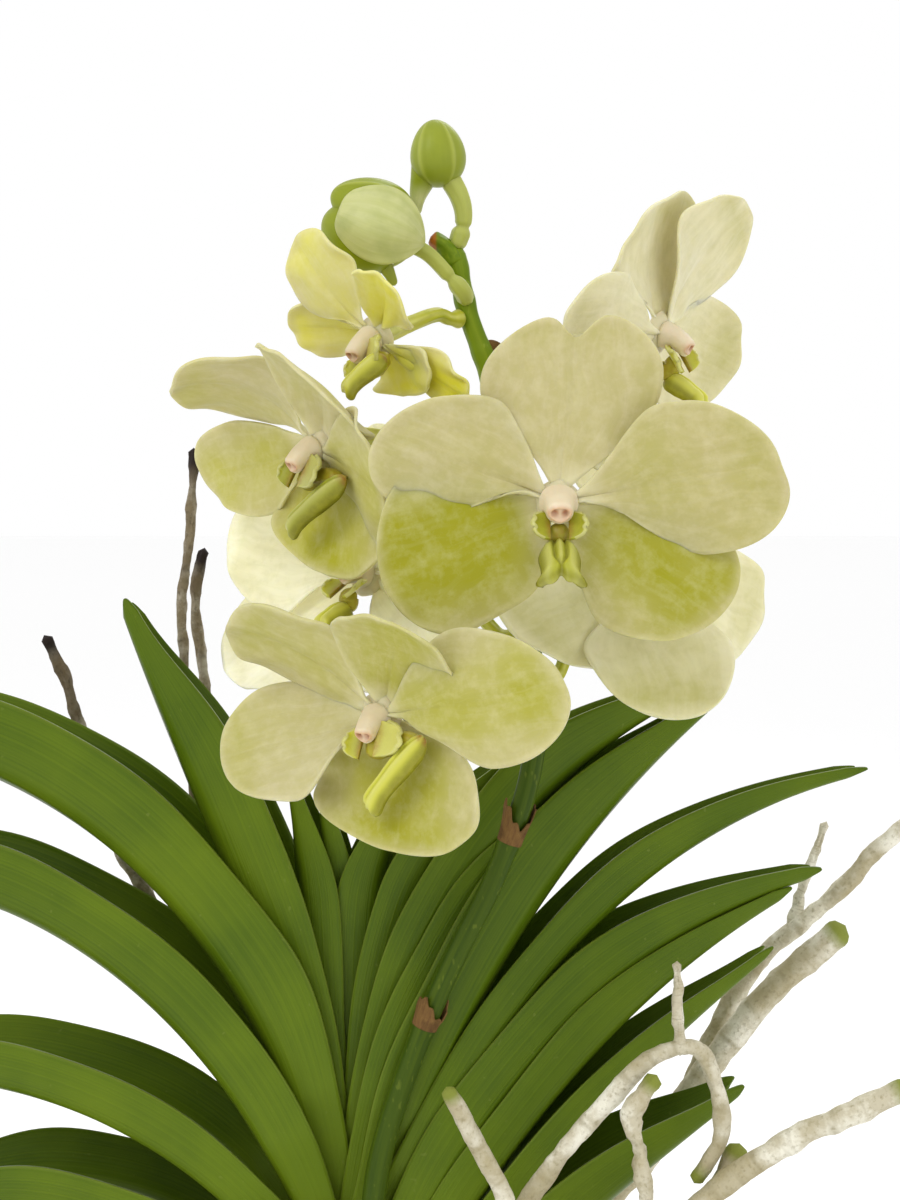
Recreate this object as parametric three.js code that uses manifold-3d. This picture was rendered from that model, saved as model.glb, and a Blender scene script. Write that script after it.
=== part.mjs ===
// A vanda orchid in bloom, standing in a clear glass vase: a fan of folded strap leaves on
// a short stem, a flower spike with seven blooms and two buds, and thick aerial roots.
// Millimetres, +Z up, X to the right and -Y to the front; the vase stands on Z = 0.

import * as THREE from 'three';
import { mergeVertices } from 'three/addons/utils/BufferGeometryUtils.js';
import Module from 'manifold-3d';

const wasm = await Module();
wasm.setup();

// ---- driving dimensions ----------------------------------------------------------------

const GAP = 0.3;

const VASE = { height: 240, footRadius: 55, mouthRadius: 74, wall: 4, base: 12, sides: 32 };

const STEM = { radius: 7, crownRadius: 12, bottom: 112, crownTop: 188, top: 322, sides: 10 };

// Every leaf is one V-shaped strap. Its sheath starts on the stem, one step below the
// sheath of the next younger leaf, and its two halves clasp all the younger leaves.
const LEAF = {
  topNode: 318,
  nodeStep: 6.95,
  keelStart: 8.6,
  thickness: 1.2,
  sheathHalfWidth: 12,
  sheathGap: 8.1,
  sheathFlare: 0.25,
  sheathLength: 48,
  layerStep: 1.63,
  openingLength: 90,
  keelGap: 2.5,
  nearSpread: 14,
  farSpread: 30,
  rows: 10,
  columns: [-1, -0.3, 0, 0.3, 1],
};

// From the youngest leaf to the oldest. side: -1 left, 1 right. rise, arch and fall are the
// keel's slopes in degrees near the stem, midway and at the tip; width is that of one half.
const LEAVES = [
  { name: 'leaf_01_left', side: -1, length: 88, rise: 89, arch: 95, fall: 88, width: 10 },
  { name: 'leaf_02_right', side: 1, length: 96, rise: 88, arch: 93, fall: 72, width: 14 },
  { name: 'leaf_03_left', side: -1, length: 106, rise: 79, arch: 95, fall: 82, width: 13 },
  { name: 'leaf_04_right', side: 1, length: 122, rise: 80, arch: 87, fall: 46, width: 16 },
  { name: 'leaf_05_left', side: -1, length: 178, rise: 80, arch: 62, fall: 72, width: 21 },
  { name: 'leaf_06_right', side: 1, length: 190, rise: 80, arch: 69, fall: 20, width: 19 },
  { name: 'leaf_07_left', side: -1, length: 248, rise: 80, arch: 48, fall: -12, width: 25 },
  { name: 'leaf_08_right', side: 1, length: 158, rise: 83, arch: 65, fall: 44, width: 17 },
  { name: 'leaf_09_right', side: 1, length: 198, rise: 74, arch: 62, fall: 41, width: 21 },
  { name: 'leaf_10_left', side: -1, length: 235, rise: 77, arch: 40, fall: -17, width: 21 },
  { name: 'leaf_11_right', side: 1, length: 225, rise: 74, arch: 57, fall: 13, width: 13 },
  { name: 'leaf_12_left', side: -1, length: 185, rise: 70, arch: 18, fall: -12, width: 18 },
  { name: 'leaf_13_right', side: 1, length: 202, rise: 73, arch: 53, fall: 17, width: 18 },
  { name: 'leaf_14_right', side: 1, length: 193, rise: 66, arch: 53, fall: 31, width: 15 },
  { name: 'leaf_15_left', side: -1, length: 160, rise: 68, arch: 14, fall: -20, width: 18 },
  { name: 'leaf_16_right', side: 1, length: 186, rise: 68, arch: 43, fall: 41, width: 12 },
  { name: 'leaf_17_left', side: -1, length: 150, rise: 63, arch: 12, fall: -24, width: 19 },
  { name: 'leaf_18_right', side: 1, length: 160, rise: 66, arch: 34, fall: 40, width: 18 },
  { name: 'leaf_19_left', side: -1, length: 134, rise: 64, arch: 20, fall: -28, width: 19 },
];

// The flower spike's centre line, from the leaf sheaths up to its tip.
const SPIKE = {
  path: [
    [6, -24.8, 262], [10, -25.8, 300], [21, -26.8, 335], [31, -28.4, 359], [43, -29, 384], [52, -30, 411],
    [54, -30, 433], [51, -29, 455], [48, -27, 477], [44, -25, 502], [40.4, -22, 524],
    [34.9, -20, 540], [31.2, -18, 558],
  ],
  baseRadius: 3.4,
  tipRadius: 2.7,
  sides: 7,
};

// Papery sheaths round the lower spike: where they start along it, from 0 to 1.
const SPIKE_SHEATHS = [0.26, 0.45];
// Small bracts below the flower stalks, and which way each one points.
const SPIKE_BRACTS = [
  { at: 0.66, heading: [1, 0, 0.4] },
  { at: 0.9, heading: [1, 0, 0.3] },
  { at: 0.98, heading: [-1, 0, 0.5] },
];

// Edges and slivers smaller than this are smoothed away where pieces are fused.
const SHORTEST_EDGE = 0.02;
const PEDICEL_RADIUS = 1.9;
const TEPAL_THICKNESS = 0.9;
const TEPAL_START = 2.2;

// The column, from its foot inside the tepals to its cap, in the bloom's frame.
const COLUMN = { path: [[0, 0, 0], [0, -0.6, 5], [0, -3, 9.6]], footRadius: 4.2, capRadius: 3.5 };

// Where the lip grows below the column's foot, in the bloom's frame, and its thickness there.
const LIP_FOOT = { point: [0, -7.5, 4.7], radius: 3 };
// Sections of the lip's tongue: where they lie along it from 0 to 1, its half width, and how
// far its ridged top and its turned-down margins lie from its centre line.
const TONGUE = [
  { at: 0, half: 2.2, top: 1.4, margin: -1.2 },
  { at: 0.12, half: 3.8, top: 2.3, margin: -2 },
  { at: 0.4, half: 4.5, top: 2.6, margin: -2.4 },
  { at: 0.7, half: 4.2, top: 2.3, margin: -2 },
  { at: 1, half: 5.8, top: 1, margin: -1.4 },
];

// The five tepals of a bloom. angle is clockwise from the top as seen from the front; tilt is
// how far the tepal leans forward at its base and curl how much more at its tip, in degrees.
// cup lifts its edges, ruffle waves them, roll turns it about its own length and slant makes
// one side longer than the other. base sets it in depth, claw is its narrow foot's share of
// the width, lean makes that foot wider to one side and notch cuts into its tip.
const DORSAL = { base: 0, cup: 1.5, ruffle: 1.2 };
const PETAL = { base: 1.2, cup: -1, ruffle: 1.5 };
const LATERAL = { base: -0.8, cup: 1.5, ruffle: 1.2 };

// centre is where the column leaves the bloom's face; turn and nod are the way it faces,
// in degrees to the right and upward; spin turns it clockwise about that direction. joint is
// the height where its stalk meets the spike. lipSwing turns the lip clockwise about the
// column, lipWide scales its tongue's width and the tongue runs from lipRear to lipApex in the
// bloom's own frame.
const BLOOMS = [
  {
    name: 'bloom_1', centre: [57.4, -82, 491.5], turn: 1, nod: 0, spin: 0, joint: 478,
    lipSwing: 0, lipWide: 1.25, lipRear: [0, -10.4, 4.2], lipApex: [0, -18.8, 19],
    dorsal: {
      angle: 6, tilt: 2, curl: -1, roll: 1, length: 46.5, width: 45.6, slant: 0.15,
      claw: 0.4, lean: 0.1, notch: 0.35,
    },
    left: {
      angle: -67, tilt: 2, curl: 1, roll: -12, length: 46.3, width: 36, slant: -0.27,
      claw: 0.19, lean: 0.46, notch: 0,
    },
    right: {
      angle: 78, tilt: 6, curl: 11, roll: 10, length: 55.7, width: 41.4, slant: 0.19,
      claw: 0.18, lean: -0.19, notch: 0.03,
    },
    lowerLeft: {
      angle: -112, tilt: 2, curl: 2, roll: 8, length: 46.6, width: 44.1, slant: -0.14,
      claw: 0.73, lean: -0.5, notch: 0,
    },
    lowerRight: {
      angle: 125, tilt: 2, curl: 2, roll: -8, length: 48.6, width: 38.4, slant: -0.18,
      claw: 0.52, lean: 0.35, notch: 0,
    },
  },
  {
    name: 'bloom_2', centre: [-5.4, -47, 503.7], turn: -52, nod: -14, spin: 8, joint: 488,
    lipSwing: 0, lipWide: 0.75, lipRear: [15, -6, 5.6], lipApex: [0, -19, 13],
    dorsal: {
      angle: 28, tilt: 5, curl: 50, roll: 19, length: 41.4, width: 37.4, slant: -0.25,
      claw: 0.59, lean: 0.1, notch: 0.01,
    },
    left: {
      angle: -46, tilt: -2, curl: 78, roll: -17, length: 43.9, width: 40, slant: -0.16,
      claw: 0.15, lean: 0.09, notch: 0.02,
    },
    right: {
      angle: 96, tilt: 5, curl: 12, roll: 8, length: 36.1, width: 39.1, slant: 0.01,
      claw: 0.23, lean: -0.05, notch: 0.02,
    },
    lowerLeft: {
      angle: -110, tilt: 11, curl: -10, roll: 5, length: 51.7, width: 27.6, slant: 0.6,
      claw: 0.8, lean: 0, notch: 0,
    },
    lowerRight: {
      angle: 165, tilt: -2, curl: 40, roll: -4, length: 32.9, width: 44.5, slant: -0.33,
      claw: 0.55, lean: 0, notch: 0,
    },
  },
  {
    name: 'bloom_3', centre: [12, -76, 436], turn: -31, nod: -13, spin: -2, joint: 420,
    lipSwing: 0, lipWide: 0.75, lipRear: [14, -5.5, 7], lipApex: [0, -20.5, 13],
    dorsal: {
      angle: 27, tilt: 9, curl: 41, roll: 13, length: 42.7, width: 33.8, slant: 0.04,
      claw: 0.45, lean: -0.18, notch: 0.13,
    },
    left: {
      angle: -43, tilt: 1, curl: 31, roll: -25, length: 44.6, width: 36.8, slant: 0,
      claw: 0.59, lean: -0.15, notch: 0.02,
    },
    right: {
      angle: 78, tilt: 28, curl: -52, roll: -9, length: 59.4, width: 35.8, slant: 0.27,
      claw: 0.2, lean: -0.19, notch: 0.02,
    },
    lowerLeft: {
      angle: -117, tilt: 21, curl: 4, roll: 42, length: 45.4, width: 35.7, slant: 0.13,
      claw: 0.36, lean: 0.15, notch: 0,
    },
    lowerRight: {
      angle: 165, tilt: 5, curl: 34, roll: 1, length: 34.8, width: 46.6, slant: -0.33,
      claw: 0.85, lean: 0.3, notch: 0,
    },
  },
  {
    name: 'bloom_4', centre: [87, -34, 534], turn: 60, nod: -10, spin: -2, joint: 505,
    lipSwing: 0, lipWide: 0.75, lipRear: [0, -11.4, 3.8], lipApex: [0, -16.4, 16.5],
    dorsal: {
      angle: -5, tilt: -30, curl: 50, roll: 2, length: 35.9, width: 49.7, slant: 0.19,
      claw: 0.41, lean: 0.21, notch: 0.08,
    },
    left: {
      angle: -88, tilt: -2, curl: -6, roll: -10, length: 49.3, width: 33.1, slant: 0.11,
      claw: 0.2, lean: 0, notch: 0.02,
    },
    right: {
      angle: 39, tilt: -8, curl: 33, roll: 6, length: 45.1, width: 39.4, slant: 0.16,
      claw: 0.35, lean: 0.03, notch: 0.02,
    },
    lowerLeft: {
      angle: -134, tilt: 4, curl: 0, roll: 0, length: 46, width: 43, slant: 0.4,
      claw: 0.3, lean: 0, notch: 0,
    },
    lowerRight: {
      angle: 105, tilt: -25, curl: 55, roll: 11, length: 52.6, width: 34.7, slant: -0.13,
      claw: 0.36, lean: -0.1, notch: 0,
    },
  },
  {
    name: 'bloom_5', centre: [10, -42, 533], turn: -47, nod: -16, spin: 3, joint: 537,
    lipSwing: -20, lipWide: 0.75, lipRear: [9, -6, 6.8], lipApex: [0, -10.5, 17.5],
    dorsal: {
      angle: 40, tilt: 11, curl: 21, roll: 12, length: 26.5, width: 21.2, slant: -0.05,
      claw: 0.25, lean: -0.1, notch: 0.17,
    },
    left: {
      angle: -38, tilt: 20, curl: -33, roll: 2, length: 33.1, width: 25.5, slant: 0.02,
      claw: 0.25, lean: 0.18, notch: 0.02,
    },
    right: {
      angle: 115, tilt: -2, curl: -1, roll: 9, length: 33.8, width: 15, slant: -0.28,
      claw: 0.11, lean: -0.18, notch: 0.02,
    },
    lowerLeft: {
      angle: -88, tilt: -8, curl: 19, roll: -13, length: 33, width: 17.7, slant: 0.03,
      claw: 0.33, lean: -0.04, notch: 0,
    },
    lowerRight: {
      angle: 142, tilt: -13, curl: 33, roll: 13, length: 17.5, width: 31.7, slant: -0.49,
      claw: 0.3, lean: 0, notch: 0,
    },
  },
  {
    name: 'bloom_6', centre: [7, -24, 467], turn: -46, nod: 20, spin: -21, joint: 450,
    lipSwing: 18, lipWide: 0.75, lipRear: [0, -10.4, 4.2], lipApex: [0, -18, 13.5],
    dorsal: {
      angle: 2, tilt: 4, curl: 6, roll: 0, length: 42, width: 42, slant: 0,
      claw: 0.3, lean: 0, notch: 0.12,
    },
    left: {
      angle: -62, tilt: 9, curl: 5, roll: 1, length: 50, width: 37, slant: 0.2,
      claw: 0.2, lean: 0, notch: 0.02,
    },
    right: {
      angle: 88, tilt: -6, curl: 0, roll: 0, length: 40, width: 34, slant: -0.2,
      claw: 0.2, lean: 0, notch: 0.02,
    },
    lowerLeft: {
      angle: -105, tilt: 0, curl: 14, roll: 16, length: 53, width: 46, slant: 0.28,
      claw: 0.3, lean: 0, notch: 0,
    },
    lowerRight: {
      angle: 140, tilt: 2, curl: 4, roll: 0, length: 48, width: 44, slant: -0.4,
      claw: 0.3, lean: 0, notch: 0,
    },
  },
  {
    name: 'bloom_7', centre: [83, -26, 469], turn: 26, nod: 22, spin: 7, joint: 438,
    lipSwing: 25, lipWide: 0.75, lipRear: [0, -9.8, 6], lipApex: [0, -19.4, 18.8],
    dorsal: {
      angle: 2, tilt: 4, curl: 4, roll: 0, length: 40, width: 42, slant: 0,
      claw: 0.3, lean: 0, notch: 0.12,
    },
    left: {
      angle: -90, tilt: -14, curl: 0, roll: 0, length: 30, width: 32, slant: 0.2,
      claw: 0.2, lean: 0, notch: 0.02,
    },
    right: {
      angle: 101, tilt: -12, curl: -16, roll: 4, length: 48, width: 36, slant: -0.2,
      claw: 0.2, lean: 0, notch: 0.02,
    },
    lowerLeft: {
      angle: -118, tilt: 2, curl: 0, roll: 0, length: 44, width: 40, slant: 0.4,
      claw: 0.3, lean: 0, notch: 0,
    },
    lowerRight: {
      angle: 176, tilt: 31.5, curl: -20, roll: 22, length: 48, width: 40, slant: -0.15,
      claw: 0.3, lean: 0, notch: 0,
    },
  },
];

const BUDS = [
  {
    name: 'bud_1', centre: [27, -18, 583], radius: 7.6, height: 9.2, lean: 8,
    stalk: [[31.5, -18, 558.8], [33.6, -18, 564], [33.6, -18, 568], [32.6, -18, 572], [30.5, -18, 576]],
    spur: [[22.5, -18, 579], [20.8, -18, 574], [20.6, -18, 570], [21.3, -18, 566.8]],
  },
  {
    name: 'bud_2', centre: [9, -25, 563], radius: 12, height: 13, lean: 62,
    stalk: [[34, -24, 545], [29.5, -25, 550], [23.5, -25, 556], [17, -25, 559]],
    spur: [[10, -27, 555], [12.5, -27, 552], [15, -27, 547.5]],
  },
];

// Roots that climb out of the vase, each with its own branches.
const RISING_ROOTS = [
  {
    name: 'root_thick', angle: 20, z: 181, from: 4.6, to: 4.2,
    route: [[34, 18, 200], [52, 20, 236], [74, 24, 266], [91, 24, 287], [106, 25, 308], [124, 24, 333],
      [149, 22, 357]],
    branches: [],
  },
  {
    name: 'root_long_right', angle: 52, z: 176, from: 3.2, to: 2.6,
    route: [[34, 32, 200], [56, 32, 238], [80, 36, 268], [101, 36, 295], [107, 36, 311], [125, 36, 343],
      [146, 36, 362], [167, 36, 383], [184, 36, 394]],
    branches: [{ radius: 1.9, route: [[134, 36, 350], [137, 36, 362], [141, 36, 373], [145, 36, 386]] }],
  },
  {
    name: 'root_arched', angle: -38, z: 183, from: 3.4, to: 2.2,
    route: [[26, -24, 205], [36, -30, 240], [50, -34, 288], [61, -36, 305], [72, -38, 319], [86, -38, 334],
      [98, -36, 336], [104, -35, 326], [106, -32, 308], [99, -30, 295]],
    branches: [{ radius: 2, route: [[94, -37, 334], [94, -37, 344], [93, -37, 361]] }],
  },
  {
    name: 'root_beaded', angle: -72, z: 178, from: 2.6, to: 2.3,
    route: [[22, -40, 200], [44, -43, 240], [68, -45, 270], [84, -45, 293], [83, -45, 308], [80, -45, 320],
      [87, -45, 331]],
    branches: [],
  },
  {
    name: 'root_low_right', angle: -16, z: 175, from: 3.8, to: 3.2,
    route: [[34, -16, 198], [50, -26, 236], [78, -34, 268], [100, -36, 291], [125, -40, 311],
      [141, -42, 319], [158, -42, 327]],
    branches: [],
  },
  {
    name: 'root_stub', angle: 2, z: 166, from: 3, to: 3.2,
    route: [[36, -4, 190], [62, -16, 236], [84, -24, 266], [101, -28, 286], [108, -28, 296],
      [112, -28, 306]],
    branches: [],
  },
  {
    name: 'root_pale_front', angle: -96, z: 186, from: 2.8, to: 2.4,
    route: [[10, -38, 206], [36, -48, 240], [50, -48, 276], [45, -50, 297], [35, -54, 318],
      [29, -56, 331]],
    branches: [],
  },
  {
    name: 'root_dark_left', angle: 118, z: 182, from: 1.8, to: 1.5, dried: true,
    route: [[-16, 32, 214], [-28, 36, 262], [-40, 36, 299], [-45, 36, 362], [-49, 36, 402],
      [-51, 36, 457], [-48, 36, 478], [-47, 36, 500]],
    branches: [],
  },
  {
    name: 'root_grey_left', angle: 92, z: 185, from: 2.6, to: 1.8, dried: true,
    route: [[-10, 44, 214], [-22, 46, 262], [-32, 46, 303], [-38, 46, 344], [-43, 46, 394],
      [-47, 46, 441], [-48, 46, 456], [-45, 46, 469]],
    branches: [],
  },
  {
    name: 'root_far_left', angle: 146, z: 176, from: 2.8, to: 1.8, dried: true,
    route: [[-22, 24, 214], [-24, 30, 266], [-46, 30, 329], [-63, 30, 366], [-70, 30, 378],
      [-82, 30, 418], [-87, 30, 433], [-92, 30, 444]],
    branches: [],
  },
];

// Roots that hang inside the vase and curl on its floor. start is the heading where each one
// leaves the stem, turn how far round the vase it winds, both in degrees.
const HANGING_ROOTS = [
  { name: 'root_in_vase_1', start: 10, z: 140, turn: 120, radius: 3.4 },
  { name: 'root_in_vase_2', start: 70, z: 150, turn: 110, radius: 2.8 },
  { name: 'root_in_vase_3', start: 130, z: 144, turn: 118, radius: 3.6 },
  { name: 'root_in_vase_4', start: 190, z: 152, turn: 105, radius: 3 },
  { name: 'root_in_vase_5', start: 250, z: 138, turn: 125, radius: 3.2 },
  { name: 'root_in_vase_6', start: 310, z: 150, turn: 115, radius: 2.8 },
];

// ---- materials ---------------------------------------------------------------------------

const glass = new THREE.MeshStandardMaterial({ color: 0xdfe9e6, roughness: 0.05, metalness: 0 });
const stemGreen = new THREE.MeshStandardMaterial({ color: 0x6d7a3a, roughness: 0.7, metalness: 0 });
const leafGreen = new THREE.MeshStandardMaterial({ color: 0x4c6b18, roughness: 0.4, metalness: 0 });
const spikeGreen = new THREE.MeshStandardMaterial({ color: 0x6f8f2a, roughness: 0.5, metalness: 0 });
const petalCream = new THREE.MeshStandardMaterial({ color: 0xdcdba6, roughness: 0.55, metalness: 0 });
const lipYellow = new THREE.MeshStandardMaterial({ color: 0xb9be3a, roughness: 0.45, metalness: 0 });
const budGreen = new THREE.MeshStandardMaterial({ color: 0xb4c46a, roughness: 0.5, metalness: 0 });
const rootPale = new THREE.MeshStandardMaterial({ color: 0xc9c3ac, roughness: 0.85, metalness: 0 });
const rootDark = new THREE.MeshStandardMaterial({ color: 0x6b5a44, roughness: 0.9, metalness: 0 });

// ---- small helpers -----------------------------------------------------------------------

const vec = (point) => new THREE.Vector3(...point);
const rad = THREE.MathUtils.degToRad;
const mix = THREE.MathUtils.lerp;
const smooth = (value) => THREE.MathUtils.smoothstep(value, 0, 1);

/** The geometry as a solid for joining. */
function toSolid(geometry) {
  const bare = geometry.clone();
  bare.deleteAttribute('normal');
  bare.deleteAttribute('uv');
  const merged = mergeVertices(bare, 1e-4);
  return new wasm.Manifold(new wasm.Mesh({
    numProp: 3,
    vertProperties: new Float32Array(merged.attributes.position.array),
    triVerts: new Uint32Array(merged.index.array),
  }));
}

/** Several closed geometries joined into one body, with pockets filled and scraps dropped. */
function join(geometries) {
  const solid = geometries.map(toSolid).reduce((whole, next) => whole.add(next));
  const bodies = solid.asOriginal().simplify(SHORTEST_EDGE).decompose();
  const mesh = bodies.sort((a, b) => b.volume() - a.volume())[0].getMesh();
  const joined = new THREE.BufferGeometry();
  joined.setAttribute('position', new THREE.BufferAttribute(mesh.vertProperties, 3));
  joined.setIndex(new THREE.BufferAttribute(mesh.triVerts, 1));
  return joined;
}

/** Closed geometry between two grids of points that lie thinly apart, front and back. */
function gridSolid(front, back) {
  const rows = front.length;
  const columns = front[0].length;
  const points = [...front.flat(), ...back.flat()];
  const index = [];
  const at = (side, row, column) => (side * rows + row) * columns + column;
  const quad = (a, b, c, d) => index.push(a, b, c, a, c, d);
  for (let row = 0; row < rows - 1; row += 1) {
    for (let column = 0; column < columns - 1; column += 1) {
      const [a, b] = [at(0, row, column), at(0, row, column + 1)];
      const [c, d] = [at(0, row + 1, column + 1), at(0, row + 1, column)];
      const half = rows * columns;
      quad(a, b, c, d);
      index.push(a + half, c + half, b + half, a + half, d + half, c + half);
    }
  }
  for (let row = 0; row < rows - 1; row += 1) {
    quad(at(0, row, 0), at(0, row + 1, 0), at(1, row + 1, 0), at(1, row, 0));
    const last = columns - 1;
    quad(at(0, row + 1, last), at(0, row, last), at(1, row, last), at(1, row + 1, last));
  }
  for (let column = 0; column < columns - 1; column += 1) {
    quad(at(0, 0, column + 1), at(0, 0, column), at(1, 0, column), at(1, 0, column + 1));
    const end = rows - 1;
    quad(at(0, end, column), at(0, end, column + 1), at(1, end, column + 1), at(1, end, column));
  }
  const geometry = new THREE.BufferGeometry().setFromPoints(points);
  geometry.setIndex(index);
  return geometry;
}

/** A thin blade of even thickness about a grid of points. */
function blade(grid, thickness) {
  const rows = grid.length;
  const columns = grid[0].length;
  const normalAt = (row, column) => {
    const along = grid[Math.min(row + 1, rows - 1)][column].clone()
      .sub(grid[Math.max(row - 1, 0)][column]);
    const across = grid[row][Math.min(column + 1, columns - 1)].clone()
      .sub(grid[row][Math.max(column - 1, 0)]);
    return across.cross(along).normalize().multiplyScalar(thickness / 2);
  };
  const offset = (sign) => grid.map((line, row) => line.map(
    (point, column) => point.clone().addScaledVector(normalAt(row, column), sign)));
  return gridSolid(offset(1), offset(-1));
}

/** Closed tube along a smooth line through the points; radiusAt gives its radius from 0 to 1. */
function tube(points, radiusAt, sides, steps) {
  const curve = new THREE.CatmullRomCurve3(points.map((point) => (point.isVector3 ? point : vec(point))));
  const frames = curve.computeFrenetFrames(steps, false);
  const positions = [curve.getPointAt(0)];
  for (let step = 0; step <= steps; step += 1) {
    const centre = curve.getPointAt(step / steps);
    const radius = radiusAt(step / steps);
    for (let side = 0; side < sides; side += 1) {
      const turn = (side / sides) * Math.PI * 2;
      positions.push(centre.clone()
        .addScaledVector(frames.normals[step], radius * Math.cos(turn))
        .addScaledVector(frames.binormals[step], radius * Math.sin(turn)));
    }
  }
  positions.push(curve.getPointAt(1));
  const index = [];
  const ring = (step, side) => 1 + step * sides + (side % sides);
  for (let side = 0; side < sides; side += 1) {
    index.push(0, ring(0, side + 1), ring(0, side));
    index.push(positions.length - 1, ring(steps, side), ring(steps, side + 1));
    for (let step = 0; step < steps; step += 1) {
      const [a, b] = [ring(step, side), ring(step, side + 1)];
      const [c, d] = [ring(step + 1, side + 1), ring(step + 1, side)];
      index.push(a, b, c, a, c, d);
    }
  }
  const geometry = new THREE.BufferGeometry().setFromPoints(positions);
  geometry.setIndex(index);
  return geometry;
}

/** Radius that tapers evenly and rounds off over the last tenth. */
function taper(from, to) {
  return (t) => mix(from, to, t) * (t > 0.9 ? Math.sqrt(1 - ((t - 0.9) / 0.1) ** 2 * 0.75) : 1);
}

// ---- vase and stem -----------------------------------------------------------------------

/** Plain flared glass vase, turned about its own axis. */
function vase() {
  const { height, footRadius, mouthRadius, wall, base, sides } = VASE;
  const round = 2;
  const profile = [
    [0, 0], [footRadius - round, 0], [footRadius, round], [mouthRadius, height - 1.5],
    [mouthRadius - 1.5, height], [mouthRadius - wall + 1, height], [mouthRadius - wall, height - 1.5],
    [footRadius - wall + 1, base + 6], [footRadius - wall - 5, base], [0, base],
  ].map(([x, y]) => new THREE.Vector2(x, y));
  return new THREE.LatheGeometry(profile, sides).rotateX(Math.PI / 2);
}

/** The woody stem, thick at its crown of roots and slim where the leaves clasp it. */
function stem() {
  const { radius, crownRadius, bottom, crownTop, top, sides } = STEM;
  const profile = [
    [0, bottom], [crownRadius - 5, bottom], [crownRadius, bottom + 12], [crownRadius, crownTop - 4],
    [radius, crownTop + 1], [radius, top - 8], [radius - 4, top], [0, top],
  ].map(([x, y]) => new THREE.Vector2(x, y));
  return new THREE.LatheGeometry(profile, sides).rotateX(Math.PI / 2);
}

// ---- leaves ------------------------------------------------------------------------------

/** Half the leaf's width at a share s of its length. */
function leafHalfWidth(leaf, s) {
  const grown = mix(LEAF.sheathHalfWidth, leaf.width, smooth((s * leaf.length) / 80));
  return grown * (1 - 0.8 * smooth((s - 0.6) / 0.42) ** 1.3);
}

/** Half the clear width inside a leaf's fold, after a run along its keel. */
function foldGap(order, run) {
  const flare = Math.min(LEAF.sheathFlare * Math.min(run, LEAF.sheathLength), LEAF.layerStep * order);
  return mix(LEAF.sheathGap + flare, LEAF.keelGap, smooth((run - LEAF.sheathLength) / 150));
}

/** One cross-section of a leaf, from the near margin through the keel to the far margin. */
function leafSection(leaf, order, s, keel, slope) {
  const run = s * leaf.length;
  const halfWidth = leafHalfWidth(leaf, s);
  const gap = foldGap(order, run);
  const opened = smooth(run / LEAF.openingLength);
  const up = new THREE.Vector3(-leaf.side * Math.sin(slope), 0, Math.cos(slope));
  return LEAF.columns.map((u) => {
    const reach = halfWidth * Math.abs(u);
    const spread = rad(mix(1, u < 0 ? LEAF.nearSpread : LEAF.farSpread, opened));
    const aside = Math.sign(u) * (gap + reach * Math.sin(spread));
    return keel.clone().addScaledVector(up, reach * Math.cos(spread)).add(vec([0, aside, 0]));
  });
}

/** A folded strap leaf whose keel climbs from its node on the stem and arches over. */
function leafBlade(leaf, order) {
  const fine = 4;
  const steps = LEAF.rows * fine;
  const keel = vec([leaf.side * LEAF.keelStart, 0, LEAF.topNode - LEAF.nodeStep * order]);
  const grid = [];
  for (let step = 0; step <= steps; step += 1) {
    const s = step / steps;
    const slope = rad((1 - s) ** 2 * leaf.rise + 2 * s * (1 - s) * leaf.arch + s ** 2 * leaf.fall);
    if (step % fine === 0) grid.push(leafSection(leaf, order, s, keel, slope));
    keel.x += (leaf.side * Math.cos(slope) * leaf.length) / steps;
    keel.z += (Math.sin(slope) * leaf.length) / steps;
  }
  return blade(grid, LEAF.thickness);
}

// ---- flower spike ------------------------------------------------------------------------

/** A small pointed scale that leaves a stem at a point. */
function scale(point, heading, length, width) {
  const out = vec(heading).normalize();
  const side = new THREE.Vector3(0, 1, 0);
  const lift = out.clone().cross(side).normalize();
  const grid = [0, 1].map((v) => [-1, 0, 1].map((u) => point.clone()
    .addScaledVector(out, length * v)
    .addScaledVector(side, (width / 2) * u * (1 - 0.85 * v))
    .addScaledVector(lift, 0.8 * u * u)));
  return blade(grid, 0.9);
}

/** The spike with its papery sheaths and bracts. */
function spike() {
  const curve = new THREE.CatmullRomCurve3(SPIKE.path.map(vec));
  const radiusAt = (t) => mix(SPIKE.baseRadius, SPIKE.tipRadius, t);
  const shaft = tube(SPIKE.path, taper(SPIKE.baseRadius, SPIKE.tipRadius), SPIKE.sides, 20);
  const sheaths = SPIKE_SHEATHS.map((start) => {
    const line = [0, 0.035].map((rise) => curve.getPointAt(start + rise));
    return tube(line, (t) => radiusAt(start) + 0.3 + 0.7 * t, SPIKE.sides, 1);
  });
  const bracts = SPIKE_BRACTS.map(({ at, heading }) => scale(curve.getPointAt(at), heading, 8, 5));
  return join([shaft, ...sheaths, ...bracts]);
}

// ---- blooms and buds -----------------------------------------------------------------------

/** The bloom's own frame: X to its right, Y up its face, Z out of its face. */
function bloomMatrix(bloom) {
  const matrix = new THREE.Matrix4().makeTranslation(...bloom.centre);
  matrix.multiply(new THREE.Matrix4().makeRotationZ(rad(bloom.turn)));
  matrix.multiply(new THREE.Matrix4().makeRotationX(rad(90 - bloom.nod)));
  return matrix.multiply(new THREE.Matrix4().makeRotationZ(rad(-bloom.spin)));
}

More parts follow.
